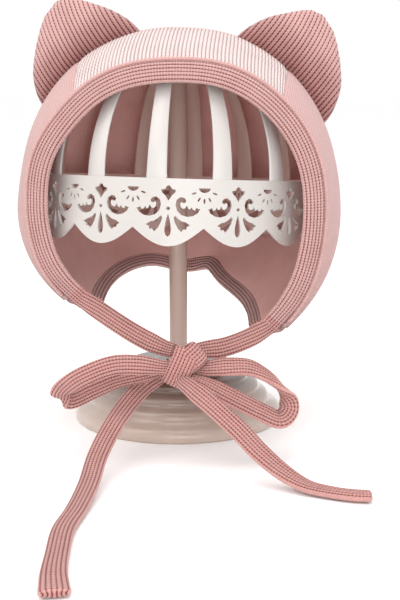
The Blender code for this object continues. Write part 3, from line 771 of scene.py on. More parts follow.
@dataclass
class Strip:
    """A flat knitted tube laid along a path, with raised wales along its length."""

    name: str
    centres: np.ndarray
    normals: np.ndarray
    width: float
    thick: float
    wales: int
    material: bpy.types.Material
    relief: float = 0.46 * MM
    around: int = 96
    round_ends: tuple[bool, bool] = (False, False)
    width_scale: np.ndarray | None = None
    thick_scale: np.ndarray | None = None
    # Power that squares the section, 2 being an ellipse
    square: float = 2.8
    # Share of a wale's height that lies under the strip's mean face
    sink: float = 0.65
    # How soon the wales rise from the edges, as a factor on the share of the half width
    edge_rise: float = 8.0
    # A rounded end: its reach as a share of the thickness, the share of the width left at its
    # tip, and the square of the share of the thickness left there
    end_reach: float = 0.55
    end_width: float = 0.75
    end_least: float = 0.02
    # Corners sharper than this stay sharp, which are only the cut ends
    sharp: float = math.radians(75)

    def build(self) -> bpy.types.Object:
        """Builds the strip.

        Returns:
            The new object.
        """
        count = len(self.centres)
        ahead = unit(np.gradient(self.centres, axis=0))
        side = unit(np.cross(ahead, self.normals))
        face = unit(np.cross(side, ahead))
        steps = np.linalg.norm(np.diff(self.centres, axis=0), axis=1)
        travelled = np.concatenate(([0], np.cumsum(steps)))
        widen = np.ones(count) if self.width_scale is None else self.width_scale
        deepen = np.ones(count) if self.thick_scale is None else self.thick_scale
        ease = np.ones(count)
        for rounded, gone in zip(self.round_ends, (travelled, travelled[-1] - travelled)):
            if rounded:
                left = 1 - np.clip(gone / (self.end_reach * self.thick), 0, 1)
                ease = np.minimum(ease, np.sqrt(np.clip(1 - left ** 2, self.end_least, 1)))
        turn = np.linspace(0, 2 * np.pi, self.around, endpoint=False)
        cosine, sine = np.cos(turn), np.sin(turn)
        across = np.sign(cosine) * np.abs(cosine) ** (2 / self.square)
        deep = np.sign(sine) * np.abs(sine) ** (2 / self.square)
        # Both edges fall on the top of a wale
        wale = across * (self.wales - 1) / 2 + (0.5 if self.wales % 2 == 0 else 0.0)
        ridge = np.abs(np.cos(np.pi * wale)) - self.sink
        ridge = ridge * np.clip((1 - np.abs(across)) * self.edge_rise, 0, 1)
        widen = widen * (self.end_width + (1 - self.end_width) * ease)
        x = across[None] * self.width / 2 * widen[:, None]
        y = (deep * self.thick / 2 + np.sign(deep) * ridge * self.relief)[None] * (ease * deepen)[:, None]
        points = self.centres[:, None] + side[:, None] * x[..., None] + face[:, None] * y[..., None]
        u = np.broadcast_to(wale[None] * STRIP_RIB_MM, x.shape)
        v = np.broadcast_to(travelled[:, None] / MM, x.shape)
        strip = mesh_object(self.name, points, tube_faces(count, self.around), np.stack((u, v), axis=-1),
                            self.material)
        strip.data.set_sharp_from_angle(angle=self.sharp)
        return strip


@dataclass
class Bindings:
    """The ribbed rolls that close the face edge and the neck edge."""

    form: HatForm
    material: bpy.types.Material
    # The face roll, how far its flat side leans forward and how far it stands forward
    width: float = 10.5 * MM
    thick: float = 5.0 * MM
    lean: float = math.radians(22)
    forward: float = 1.4 * MM
    # Thickness of the panels and the lining together, and the room between them and a roll
    shell: float = 3.3 * MM
    gap: float = 0.3 * MM
    # The neck roll, the along value that it reaches and how far it laps the panels
    neck_width: float = 8.5 * MM
    neck_thick: float = 4.6 * MM
    neck_reach: float = 0.94
    neck_lap: float = 1.6 * MM
    wales: int = 7
    neck_wales: int = 6
    # Where the face roll runs into the straps it has their size
    end_width: float = 9.5 * MM
    end_thick: float = 3.7 * MM
    end_reach: float = 16 * MM
    # The bead in the seam between the face roll and the panels
    bead: float = 1.9 * MM
    bead_span: float = 0.985
    bead_sides: int = 16
    stations: int = 240

    def face_path(self) -> tuple[np.ndarray, np.ndarray]:
        """Middle line of the face binding.

        Returns:
            Its centres and the way its flat side faces, both seated on the dome.
        """
        along = np.linspace(-1, 1, self.stations)
        swing = np.zeros_like(along)
        across, _, normal = self.form.frame(swing, along)
        forward = np.array((0.0, -1.0, 0.0))
        inward = unit(np.cross(across, forward))
        centre = np.array((0, 0, HAT_PIVOT_Z)) - self.form.plain(swing, along)
        inward *= np.where(np.sum(inward * centre, axis=-1, keepdims=True) < 0, -1.0, 1.0)
        width_way = inward * math.cos(self.lean) + forward * math.sin(self.lean)
        edge = self.form.plain(swing, along) - normal * self.shell / 2
        centres = edge + width_way * (self.gap + self.width / 2) + forward * self.forward
        faces = unit(np.cross(width_way, across))
        faces *= np.where(faces[:, 1:2] > 0, -1.0, 1.0)
        return seated(centres), seated(faces, directions=True)

    def build(self) -> list[bpy.types.Object]:
        """Builds the face roll, the bead in its seam and the neck roll.

        Returns:
            The pieces.
        """
        centres, faces = self.face_path()
        whole = np.sum(np.linalg.norm(np.diff(centres, axis=0), axis=1))
        length = np.linspace(0, whole, self.stations)
        # The roll flattens into the straps at both ends
        end = eased(1 - np.minimum(length, length[-1] - length) / self.end_reach)
        face_roll = Strip("face_roll", centres, faces, self.width, self.thick, self.wales, self.material,
                          width_scale=1 - (1 - self.end_width / self.width) * end,
                          thick_scale=1 - (1 - self.end_thick / self.thick) * end).build()
        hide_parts("face_binding")
        along = np.linspace(-self.bead_span, self.bead_span, self.stations)
        swing = np.zeros_like(along)
        normal = self.form.frame(swing, along)[2]
        line = self.form.plain(swing, along) - normal * self.bead / 3 + np.array((0, -self.bead / 2, 0))
        bead = Strip("seam_bead", seated(line), seated(normal, directions=True), self.bead, self.bead,
                     1, self.material, relief=0.0, around=self.bead_sides, square=2.0,
                     round_ends=(True, True)).build()
        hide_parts("face_binding")
        along = np.linspace(-self.neck_reach, self.neck_reach, self.stations)
        swing = np.ones_like(along)
        across, back, normal = self.form.frame(swing, along)
        width_way = unit(np.cross(across, normal))
        width_way *= np.where(np.sum(width_way * back, axis=-1, keepdims=True) < 0, -1.0, 1.0)
        centres = (self.form.plain(swing, along) - normal * self.shell / 2
                   + width_way * (2 * self.gap + self.neck_width / 2 - self.neck_lap))
        neck_roll = Strip("neck_roll", seated(centres), seated(normal, directions=True), self.neck_width,
                          self.neck_thick, self.neck_wales, self.material, round_ends=(True, True)).build()
        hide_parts("neck_binding")
        return [face_roll, bead, neck_roll]


@dataclass
class Ears:
    """Padded rib-knit ears, pinched where they are sewn to the crown."""

    form: HatForm
    material: bpy.types.Material
    y: float = -9 * MM
    half_thick: float = 10 * MM
    rib_mm: float = 2.2
    rib_height: float = 0.38 * MM
    # Share of a wale's height that lies under the ear's mean face, and how soon the wales rise
    # from the side edges, as a factor on the share of the half thickness
    rib_sink: float = 0.6
    edge_rise: float = 3.0
    # Power that squares the section a little, 1 being an ellipse
    side_power: float = 0.85
    # The foot follows the crown: share of the height it takes, its deepest drop and how far it sinks in
    foot_share: float = 0.45
    foot_drop: float = 12 * MM
    foot_sink: float = 0.3 * MM
    across: int = 210
    rows: int = 64
    crown_grid: tuple[int, int] = (160, 200)
    # The base's inner and outer end as x and z, and the height
    places: dict = field(default_factory=lambda: {
        Side.LEFT: ((25.5 * MM, 206.5 * MM), (74.3 * MM, 166.5 * MM), 33.5 * MM),
        Side.RIGHT: ((30.0 * MM, 206.5 * MM), (77.3 * MM, 165.5 * MM), 31.5 * MM),
    })
    # Shares of the height, of the half base and of the half thickness, and the lean
    table: tuple = (
        (0.00, 1.00, 0.80, 0.00),
        (0.12, 0.98, 0.98, 0.00),
        (0.28, 0.90, 0.98, -0.01),
        (0.45, 0.77, 0.88, -0.03),
        (0.66, 0.58, 0.71, -0.07),
        (0.83, 0.40, 0.53, -0.12),
        (0.94, 0.24, 0.34, -0.16),
        (1.00, 0.04, 0.05, -0.20),
    )

    def crown(self) -> BVHTree:
        """Search tree of the hat's outer surface.

        Returns:
            The tree.
        """
        rows, columns = self.crown_grid
        swing = np.linspace(0, 1, rows)[:, None] * np.ones((1, columns))
        along = np.ones((rows, 1)) * np.linspace(-1, 1, columns)[None]
        points = self.form.points(swing, along).reshape(-1, 3)
        return BVHTree.FromPolygons(points.tolist(), grid_faces(rows, columns, False).tolist())

    def build_one(self, side: Side, crown: BVHTree) -> bpy.types.Object:
        """Builds one ear.

        Args:
            side: which ear.
            crown: search tree of the hat's outer surface.

        Returns:
            The new object.
        """
        *bases, tall = self.places[side]
        ends = seated(np.array([(side.value * x, self.y, z) for x, z in bases]))
        middle = ends.mean(axis=0)
        half_base = np.linalg.norm(ends[1] - ends[0]) / 2
        length_way = unit(ends[1] - ends[0])
        thick_way = seated(np.array((0.0, 1.0, 0.0)), directions=True)
        up = unit(np.cross(thick_way, length_way))
        up = up if up[2] > 0 else -up
        table = np.array(self.table)
        level = np.sin(np.linspace(0, np.pi / 2, self.rows))
        position = np.interp(level, table[:, 0], np.arange(len(table)))
        half, thick, lean = smooth_rows(table[:, 1:], position).T[..., None]
        ring = 2 * self.across
        turn = np.linspace(0, 2 * np.pi, ring, endpoint=False)
        x_share, y_share = np.cos(turn), np.sin(turn)
        y_share = np.sign(y_share) * np.abs(y_share) ** self.side_power
        x = x_share * (half * half_base)
        pattern = np.abs(np.cos(np.pi * x / (self.rib_mm * MM))) - self.rib_sink
        pattern = pattern * self.rib_height * np.clip(np.abs(y_share) * self.edge_rise, 0, 1)
        y = y_share * (thick * self.half_thick) + np.sign(y_share) * pattern
        z = np.broadcast_to(level[:, None] * tall, x.shape)
        points = (middle + (x + lean * half_base)[..., None] * length_way + y[..., None] * thick_way
                  + z[..., None] * up)
        for row, rise in enumerate(level * tall):
            if rise > self.foot_share * tall:
                break
            blend = 1 - rise / (self.foot_share * tall)
            for column in range(ring):
                foot = points[row, column] - up * rise
                hit = crown.ray_cast(Vector(foot + up * tall), Vector(-up))[0]
                drop = float(np.dot(np.array(hit) - foot, up)) if hit else -self.foot_drop
                points[row, column] += up * (max(drop, -self.foot_drop) - self.foot_sink) * blend
        uv = np.stack((x / MM, z / MM), axis=-1)
        faces = tube_faces(self.rows, ring)
        piece = mesh_object(f"rib_ear_{side.word}", points, faces, uv, self.material)
        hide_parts(f"ear_{side.word}")
        return piece

    def build(self) -> list[bpy.types.Object]:
        """Builds both ears.

        Returns:
            The pieces.
        """
        crown = self.crown()
        return [self.build_one(side, crown) for side in Side]


@dataclass
class Bow:
    """The ties: straps from the cheek corners, a knot, two loops and two free tails."""

    bindings: Bindings
    material: bpy.types.Material
    width: float = 9.5 * MM
    thick: float = 3.6 * MM
    # The knot's middle
    knot: tuple[float, float, float] = (3.4 * MM, -80.0 * MM, 47.5 * MM)
    samples: int = 18
    # Share of the width left at the knot, and how far from it the full width starts
    pinch: float = 0.5
    pinch_reach: float = 20 * MM
    # How far a strap laps the binding, the way it faces there, and where its own way takes over
    strap_lap: float = 0.2 * MM
    strap_facing: float = 12.0
    turn_reach: float = 22 * MM
    # How much the left tail's cut end has spread, and from how far back
    flare: float = 0.28
    flare_reach: float = 34 * MM
    # The knot's wraps: middle from the knot, half depth and half height in millimetres, tilt in degrees
    wraps: dict = field(default_factory=lambda: {
        "knot_front_wrap": ((-1.0, -0.6, -1.2), 4.8, 8.3, 24),
        "knot_back_wrap": ((2.6, 0.9, 2.0), 4.4, 6.8, 52),
    })
    wrap_width: float = 11.5 * MM
    wrap_thick: float = 3.4 * MM
    wrap_relief: float = 0.25 * MM
    wrap_square: float = 2.2
    wrap_wales: int = 8
    wrap_stations: int = 90
    # x, y, z in millimetres from the knot, and the way the flat side faces in degrees
    routes: dict = field(default_factory=lambda: {
        "bow_loop_left": (
            (-5, -3.0, -1.0, 15), (-10.5, -3.5, -0.5, 15), (-21, -5, 1.0, 20), (-32, -6, 1.0, 15),
            (-43, -7, -2.5, 10), (-52, -6, -7.5, 0), (-58, -1, -13.5, -60), (-54, 5, -18.5, -170),
            (-43, 7, -14.0, -185), (-32, 6, -9.0, -190), (-21, 4.8, -6.0, -190),
            (-10.8, 3.4, -3.5, -190), (-5, 2.6, -2.5, -190),
        ),
        "bow_loop_right": (
            (4, 1.0, -1.0, 35), (10.8, 0.5, -2.0, 35), (21, -0.5, -1.0, 42), (32, 0.5, -1.8, 55),
            (42, 2, -7.5, 80), (49, 1, -15.0, 120), (50.5, -2, -21.5, 185), (46, -5, -25.5, 225),
            (38, -6, -22.0, 228), (27, -6, -16.4, 228), (17.5, -5, -11.7, 232),
            (10.8, -4, -8.6, 240), (4, -3.0, -6.4, 255),
        ),
        "tie_left_tail": (
            (0, 5.5, -3.5, 0), (-5.5, 9.8, -5.5, 0), (-12, 11.5, -8.5, 5), (-19.5, 9.0, -13.5, 15),
            (-26.5, 0.0, -20.0, 25), (-33, -16, -27.0, 40), (-38, -31, -35.0, 55), (-40.5, -49, -41.8, 75),
            (-43.5, -70, -45.0, 90), (-46.5, -92, -45.2, 90), (-46, -116, -45.2, 90),
            (-45.0, -134, -45.2, 90), (-42.6, -150.3, -45.2, 90),
        ),
        "tie_right_tail": (
            (0, -2.5, -5.0, 20), (0.2, -7.5, -6.2, 25), (4.5, -13.2, -8.2, 35), (13.6, -20.5, -14.0, 40),
            (25.7, -27, -23.8, 45), (35, -33, -32.3, 55), (45.3, -38.8, -39.8, 70), (55.5, -44.5, -44.2, 85),
            (66, -49.5, -45.2, 90), (75, -53, -45.2, 90), (83, -54, -45.2, 90),
        ),
        "tie_left_strap": (
            (-32, 17.5, 16.5, 20), (-20, 11.5, 10.5, 20), (-10, 8.2, 6.5, 20), (-4, 5, 5.5, 20),
        ),
        "tie_right_strap": (
            (32, 19.5, 8.3, 20), (20, 13.5, 5.2, 20), (10.6, 10, 4.8, 15), (4, 6.5, 4.6, 15),
        ),
    })

    def route(self, rows: tuple) -> tuple[np.ndarray, np.ndarray]:
        """Reads a route on a smooth curve.

        Args:
            rows: the route's rows.

        Returns:
            Centres and the way the flat side faces.
        """
        steps = (len(rows) - 1) * self.samples
        read = smooth_rows(np.array(rows, dtype=float), np.linspace(0, len(rows) - 1, steps + 1))
        centres = np.array(self.knot) + read[:, :3] * MM
        turn = np.radians(read[:, 3])
        return centres, np.stack((np.zeros_like(turn), -np.cos(turn), np.sin(turn)), axis=-1)

    def strap_route(self, side: Side, rows: tuple) -> tuple[np.ndarray, np.ndarray]:
        """Reads a strap's route, which starts at the end of the face binding.

        Args:
            side: which strap.
            rows: the route's rows.

        Returns:
            Centres and the way the flat side faces.
        """
        centres, faces = self.bindings.face_path()
        end, before = (0, 1) if side is Side.LEFT else (-1, -2)
        start, turned = centres[end], faces[end]
        onward = unit(start - centres[before])
        first = (start + onward * self.width / 2 - np.array(self.knot)) / MM
        centres, faces = self.route(((*first, self.strap_facing), *rows))
        centres = np.concatenate(((start - onward * self.strap_lap)[None], centres))
        faces = np.concatenate((turned[None], faces))
        # The flat side turns from the binding's way to the route's along the first stretch
        gone = eased(np.linalg.norm(centres - centres[0], axis=1) / self.turn_reach)[:, None]
        return centres, unit(turned * (1 - gone) + faces * gone)

    def build(self) -> list[bpy.types.Object]:
        """Builds the straps, loops, tails and knot.

        Returns:
            The pieces.
        """
        pieces = []
        for name, rows in self.routes.items():
            if "strap" in name:
                centres, faces = self.strap_route(Side.LEFT if "left" in name else Side.RIGHT, rows)
            else:
                centres, faces = self.route(rows)
            away = np.linalg.norm(centres - np.array(self.knot), axis=1)
            pinch = np.minimum(1, self.pinch + (1 - self.pinch) * away / self.pinch_reach)
            if name == "tie_left_tail":
                left = np.linalg.norm(centres - centres[-1], axis=1) / self.flare_reach
                pinch *= 1 + self.flare * np.clip(1 - left, 0, 1) ** 1.5
            piece = Strip(f"{name}_knit", centres, faces, self.width, self.thick, self.bindings.wales,
                          self.material, round_ends=(False, "tail" in name), width_scale=pinch).build()
            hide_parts(name)
            pieces.append(piece)
        pieces.extend(self.build_knot())
        return pieces

    def build_knot(self) -> list[bpy.types.Object]:
        """Builds the knot from two wraps round a core.

        Returns:
            The pieces.
        """
        pieces = []
        angle = np.linspace(0, 2 * np.pi, self.wrap_stations)
        zero, sine, cosine = 0 * angle, np.sin(angle), np.cos(angle)
        for name, (centre, deep, high, tilt) in self.wraps.items():
            local = np.stack((zero, -deep * cosine, high * sine), axis=-1)
            outward = unit(np.stack((zero, -cosine / deep, sine / high), axis=-1))
            spin = np.array(Matrix.Rotation(math.radians(tilt), 3, "Y"))
            centres = np.array(self.knot) + (local @ spin.T + np.array(centre)) * MM
            piece = Strip(name, centres, outward @ spin.T, self.wrap_width, self.wrap_thick, self.wrap_wales,
                          self.material, square=self.wrap_square, relief=self.wrap_relief).build()
            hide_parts("bow_knot")
            pieces.append(piece)
        return pieces


@dataclass
class HatStand:
    """White stand: a lace-cut band, dome strips, cap, post and stepped foot."""

    enamel: bpy.types.Material
    rod: bpy.types.Material
    acrylic: bpy.types.Material
    # The dome's radius and middle, and how far it leans back and rolls
    radius: float = 70.5 * MM
    centre_z: float = 129.5 * MM
    tilt: float = math.radians(4.0)
    roll: float = math.radians(1.7)
    metal: float = 1.3 * MM
    bays: int = 13
    bay_turn: float = math.radians(-2.4)
    ribs: int = 14
    rib_turn: float = math.radians(-7.2)
    rib_foot: float = 9.8 * MM
    rib_top: float = 4.5 * MM
    rib_steps: int = 26
    # How far a strip starts under the band's top, and the share of the cap that it runs under
    rib_start: float = 0.4 * MM
    rib_under_cap: float = 0.8
    # Shares of the metal: how far a strip lies under the dome's face, and its edge's rounding
    rib_inset: float = 0.2
    rib_edge: float = 0.3
    band_height: float = 31.8 * MM
    scallop: float = 8.7 * MM
    scallop_steps: int = 24
    bend_steps: int = 10
    band_edge: float = 0.12 * MM
    # Points nearer than these are joined: in the flat band, and once it's bent to a ring
    flat_weld: float = 0.004 * MM
    ring_weld: float = 0.02 * MM
    # How near a bend may cut to a point that is there, and how near the band's end counts as on it
    bend_weld: float = 0.002 * MM
    end_reach: float = 0.005 * MM
    cap_radius: float = 15 * MM
    cap_rise: float = 0.9 * MM
    # The cap's outline: share of its radius, and depth under its top in thicknesses of metal
    cap_profile: tuple = ((0.0, 0.0), (0.70, 0.0), (0.76, 0.3), (1.05, 1.9), (1.0, 2.0), (0.0, 2.0))
    # The foot's outline: shares of its radius and of its height
    foot_profile: tuple = (
        (0.0, 1.0), (0.20, 1.0), (0.24, 0.985), (0.45, 0.965), (0.50, 0.945), (0.53, 0.90), (0.545, 0.85),
        (0.59, 0.825), (0.635, 0.80), (0.665, 0.755), (0.675, 0.70), (0.71, 0.66), (0.75, 0.625),
        (0.775, 0.575), (0.785, 0.52), (0.815, 0.475), (0.85, 0.435), (0.87, 0.385), (0.88, 0.33),
        (0.905, 0.28), (0.935, 0.24), (0.965, 0.205), (0.99, 0.155), (1.0, 0.10), (1.0, 0.03), (0.985, 0.0),
    )
    foot_rings: int = 130
    # Least share of the foot's radius, and radius at which its underside closes
    foot_least: float = 0.0005
    foot_hub: float = 0.5 * MM
    # The collar where the rod enters the foot: out from the rod and up from its bottom
    post_edge: float = 0.4 * MM
    collar: tuple = ((0.0, 3 * MM), (1.6 * MM, 2 * MM), (1.8 * MM, 1 * MM), (1.8 * MM, 0.0))
    # Least radius of a turned ring, so that none closes to a single point
    axis_gap: float = 0.02 * MM
    # Sides of the turned pieces
    cap_sides: int = 56
    foot_sides: int = 128
    post_sides: int = 40
    # Corners sharper than these stay sharp, and the band's are softened
    band_sharp: float = math.radians(30)
    rib_sharp: float = math.radians(50)
    turned_sharp: float = math.radians(60)
    soften_from: float = math.radians(50)

    def seat(self, item: bpy.types.Object) -> bpy.types.Object:
        """Leans a piece with the dome.

        Args:
            item: a piece built round the dome's centre.

        Returns:
            The same piece, in its place.
        """
        lean = Matrix.Rotation(self.roll, 4, "Y") @ Matrix.Rotation(-self.tilt, 4, "X")
        item.data.transform(Matrix.Translation((0, 0, self.centre_z)) @ lean)
        return item

    def oval(self, centre: tuple[float, float], half: tuple[float, float], turn: float,
             side: int = 1, count: int = 14) -> list[tuple[float, float]]:
        """Outline of an oval cut, in shares of a bay.

        Args:
            centre: the oval's middle, on the bay's right.
            half: its half sizes.
            turn: its turn in radians.
            side: 1 for the bay's right, -1 for its left.
            count: number of points.

        Returns:
            The outline's points.
        """
        outline = []
        for step in range(count):
            angle = 2 * math.pi * step / count
            along, across = half[0] * math.cos(angle), half[1] * math.sin(angle)
            outline.append((side * centre[0] + along * math.cos(turn) - across * math.sin(side * turn),
                            centre[1] + along * math.sin(side * turn) + across * math.cos(turn)))
        return outline

    def bay_cuts(self, last: bool) -> list[list[tuple[float, float]]]:
        """Cuts of one bay, in shares of its width from the middle and of the band's height from the top.

        Args:
            last: whether the band's join follows, which takes no cut.

        Returns:
            One outline for each cut.
        """
        middle = [[*half, *((-x, y) for x, y in reversed(half) if x > 0)]
                  for half in (LACE_STAR_HALF, LACE_DROP_HALF)]
        left, right = ([[(side * x, y) for x, y in outline] for outline in (LACE_SCROLL, LACE_LEAF)]
                       + [self.oval(*petal, side) for petal in LACE_PETALS] for side in (-1, 1))
        cuts = [self.oval(*LACE_EYE), *left, *middle, *right]
        if not last:
            (x, y), (half_width, half_height) = LACE_ARCH
            turns = [math.pi * (1 + step / 12) for step in range(13)]
            cuts.append([(x + half_width * math.cos(t), y + half_height * math.sin(t)) for t in turns])
            cuts.append(self.oval(*LACE_BUD))
        return cuts

    def flat_band(self) -> bmesh.types.BMesh:
        """Lays the whole band flat, filled between its outline and cuts.

        Returns:
            The band, cut into upright strips so that it bends smoothly.
        """
        bay = 2 * math.pi * self.radius / self.bays
        length = bay * self.bays
        outline = [(length / 2, 0.0), (-length / 2, 0.0)]
        for step in range(self.scallop_steps * self.bays + 1):
            share = step / self.scallop_steps
            drop = self.band_height - self.scallop * (1 - math.cos(math.pi * (share % 1 - 0.5)))
            outline.append(((share - self.bays / 2) * bay, -drop))
        curve = bpy.data.curves.new("band", "CURVE")
        curve.dimensions = "2D"
        curve.fill_mode = "BOTH"
        curve.extrude = self.metal / 2
        outlines = [outline]
        for index in range(self.bays):
            middle = index - self.bays / 2 + 0.5
            outlines += [[((x + middle) * bay, y * self.band_height) for x, y in cut]
                         for cut in self.bay_cuts(index == self.bays - 1)]
        for points in outlines:
            spline = curve.splines.new("POLY")
            spline.points.add(len(points) - 1)
            for point, (x, y) in zip(spline.points, points):
                point.co = (x, y, 0, 1)
            spline.use_cyclic_u = True
        item = bpy.data.objects.new("band", curve)
        bpy.context.scene.collection.objects.link(item)
        bpy.context.view_layer.update()
        mesh = bpy.data.meshes.new_from_object(item.evaluated_get(bpy.context.evaluated_depsgraph_get()))
        bpy.data.objects.remove(item)
        bm = bmesh.new()
        bm.from_mesh(mesh)
        bmesh.ops.remove_doubles(bm, verts=bm.verts, dist=self.flat_weld)
        bends = self.bays * self.bend_steps
        for step in range(1, bends):
            bmesh.ops.bisect_plane(bm, geom=bm.verts[:] + bm.edges[:] + bm.faces[:], dist=self.bend_weld,
                                   plane_co=((step / bends - 0.5) * length, 0, 0), plane_no=(1, 0, 0))
        ends = [f for f in bm.faces if all(abs(abs(v.co.x) - length / 2) < self.end_reach for v in f.verts)]
        bmesh.ops.delete(bm, geom=ends, context="FACES_ONLY")
        return bm

    def build_band(self) -> bpy.types.Object:
        """Bends the flat band round the dome's lower edge.

        Returns:
            The lace band.
        """
        ring = self.flat_band()
        # The number of bays is odd, so the middle of one of them falls on bay_turn
        for vert in ring.verts:
            angle = vert.co.x / self.radius + self.bay_turn
            radius = self.radius - self.metal / 2 + vert.co.z
            vert.co = (radius * math.sin(angle), -radius * math.cos(angle), vert.co.y)
        bmesh.ops.remove_doubles(ring, verts=ring.verts, dist=self.ring_weld)
        bmesh.ops.recalc_face_normals(ring, faces=ring.faces)
        mesh = bpy.data.meshes.new("lace_band")
        ring.to_mesh(mesh)
        ring.free()
        mesh.shade_smooth()
        mesh.set_sharp_from_angle(angle=self.band_sharp)
        band = bpy.data.objects.new("lace_ring", mesh)
        mesh.materials.append(self.enamel)
        bpy.context.scene.collection.objects.link(band)
        soften = band.modifiers.new("soft_edges", "BEVEL")
        soften.width = self.band_edge
        soften.segments = 2
        soften.limit_method = "ANGLE"
        soften.angle_limit = self.soften_from
        soften.use_clamp_overlap = True
        return self.seat(band)

    def build_ribs(self) -> bpy.types.Object:
        """Builds the dome's curved strips as one joined mesh.

        Returns:
            The strips.
        """
        low = -self.rib_start / self.radius
        high = math.pi / 2 - self.rib_under_cap * self.cap_radius / self.radius
        rise = np.linspace(low, high, self.rib_steps)
        half = np.linspace(self.rib_foot, self.rib_top, self.rib_steps) / 2
        outer = self.radius - self.rib_inset * self.metal
        edge = self.rib_edge * self.metal
        # Round the section: side, inset from the edge and depth under the outer face
        profile = ((-1, 0, edge), (-1, edge, 0), (1, edge, 0), (1, 0, edge),
                   (1, 0, self.metal - edge), (1, edge, self.metal), (-1, edge, self.metal),
                   (-1, 0, self.metal - edge))
        section = np.stack([np.stack((side * (half - inset), -(outer - deep) * np.cos(rise),
                                      (outer - deep) * np.sin(rise)), axis=-1)
                            for side, inset, deep in profile], axis=1).reshape(-1, 3)
        points, faces = [], []
        for rib in range(self.ribs):
            spin = np.array(Matrix.Rotation(self.rib_turn + 2 * math.pi * rib / self.ribs, 3, "Z"))
            points.append(section @ spin.T)
            faces += tube_faces(self.rib_steps, len(profile), rib * len(section))
        strips = mesh_object("dome_strips", np.concatenate(points), faces, None, self.enamel)
        strips.data.set_sharp_from_angle(angle=self.rib_sharp)
        return self.seat(strips)

    def turned(self, name: str, profile: list[tuple[float, float]], material: bpy.types.Material,
               sides: int) -> bpy.types.Object:
        """Turns a profile round the upright axis.

        Args:
            name: the piece's name.
            profile: radius and height in metres, from the top down.
            material: the finish.
            sides: number of sides.

        Returns:
            The new object.
        """
        turn = np.linspace(0, 2 * np.pi, sides, endpoint=False)
        rings = np.array([[(max(r, self.axis_gap) * math.cos(t), max(r, self.axis_gap) * math.sin(t), z)
                           for t in turn] for r, z in profile])
        piece = mesh_object(name, rings, tube_faces(len(profile), sides), None, material)
        piece.data.set_sharp_from_angle(angle=self.turned_sharp)
        return piece

    def build_cap(self) -> bpy.types.Object:
        """Builds the disc that gathers the strips at the dome's top.

        Returns:
            The cap.
        """
        top = self.radius + self.cap_rise
        profile = [(share * self.cap_radius, top - drop * self.metal) for share, drop in self.cap_profile]
        return self.seat(self.turned("dome_cap", profile, self.enamel, self.cap_sides))

    def build_foot(self) -> bpy.types.Object:
        """Builds the stepped foot, with a rounded ring at each step.

        Returns:
            The foot.
        """
        _, (radius, _, height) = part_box("stand_foot")
        fine = smooth_rows(np.array(self.foot_profile),
                           np.linspace(0, len(self.foot_profile) - 1, self.foot_rings))
        fine = np.clip(fine, (self.foot_least, 0.0), 1.0)
        profile = [(r * radius, z * height) for r, z in fine] + [(self.foot_hub, 0.0)]
        return self.turned("stepped_foot", profile, self.acrylic, self.foot_sides)

    def build_post(self) -> bpy.types.Object:
        """Builds the rod, with a small collar where it enters the foot.

        Returns:
            The post.
        """
        (_, _, bottom), (radius, _, top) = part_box("stand_post")
        profile = [(0.0, top), (radius - self.post_edge, top), (radius, top - self.post_edge),
                   *((radius + out, bottom + up) for out, up in self.collar), (0.0, bottom)]
        return self.turned("post_rod", profile, self.rod, self.post_sides)

    def build(self) -> list[bpy.types.Object]:
        """Builds the stand.

        Returns:
            The pieces.
        """
        cage = [self.build_band(), self.build_ribs(), self.build_cap()]
        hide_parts("lace_band")
        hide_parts(*(f"dome_strip_{rib + 1:02d}" for rib in range(self.ribs)))
        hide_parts("dome_cap")
        foot = self.build_foot()
        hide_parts("stand_foot")
        post = self.build_post()
        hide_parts("stand_post")
        return [*cage, foot, post]


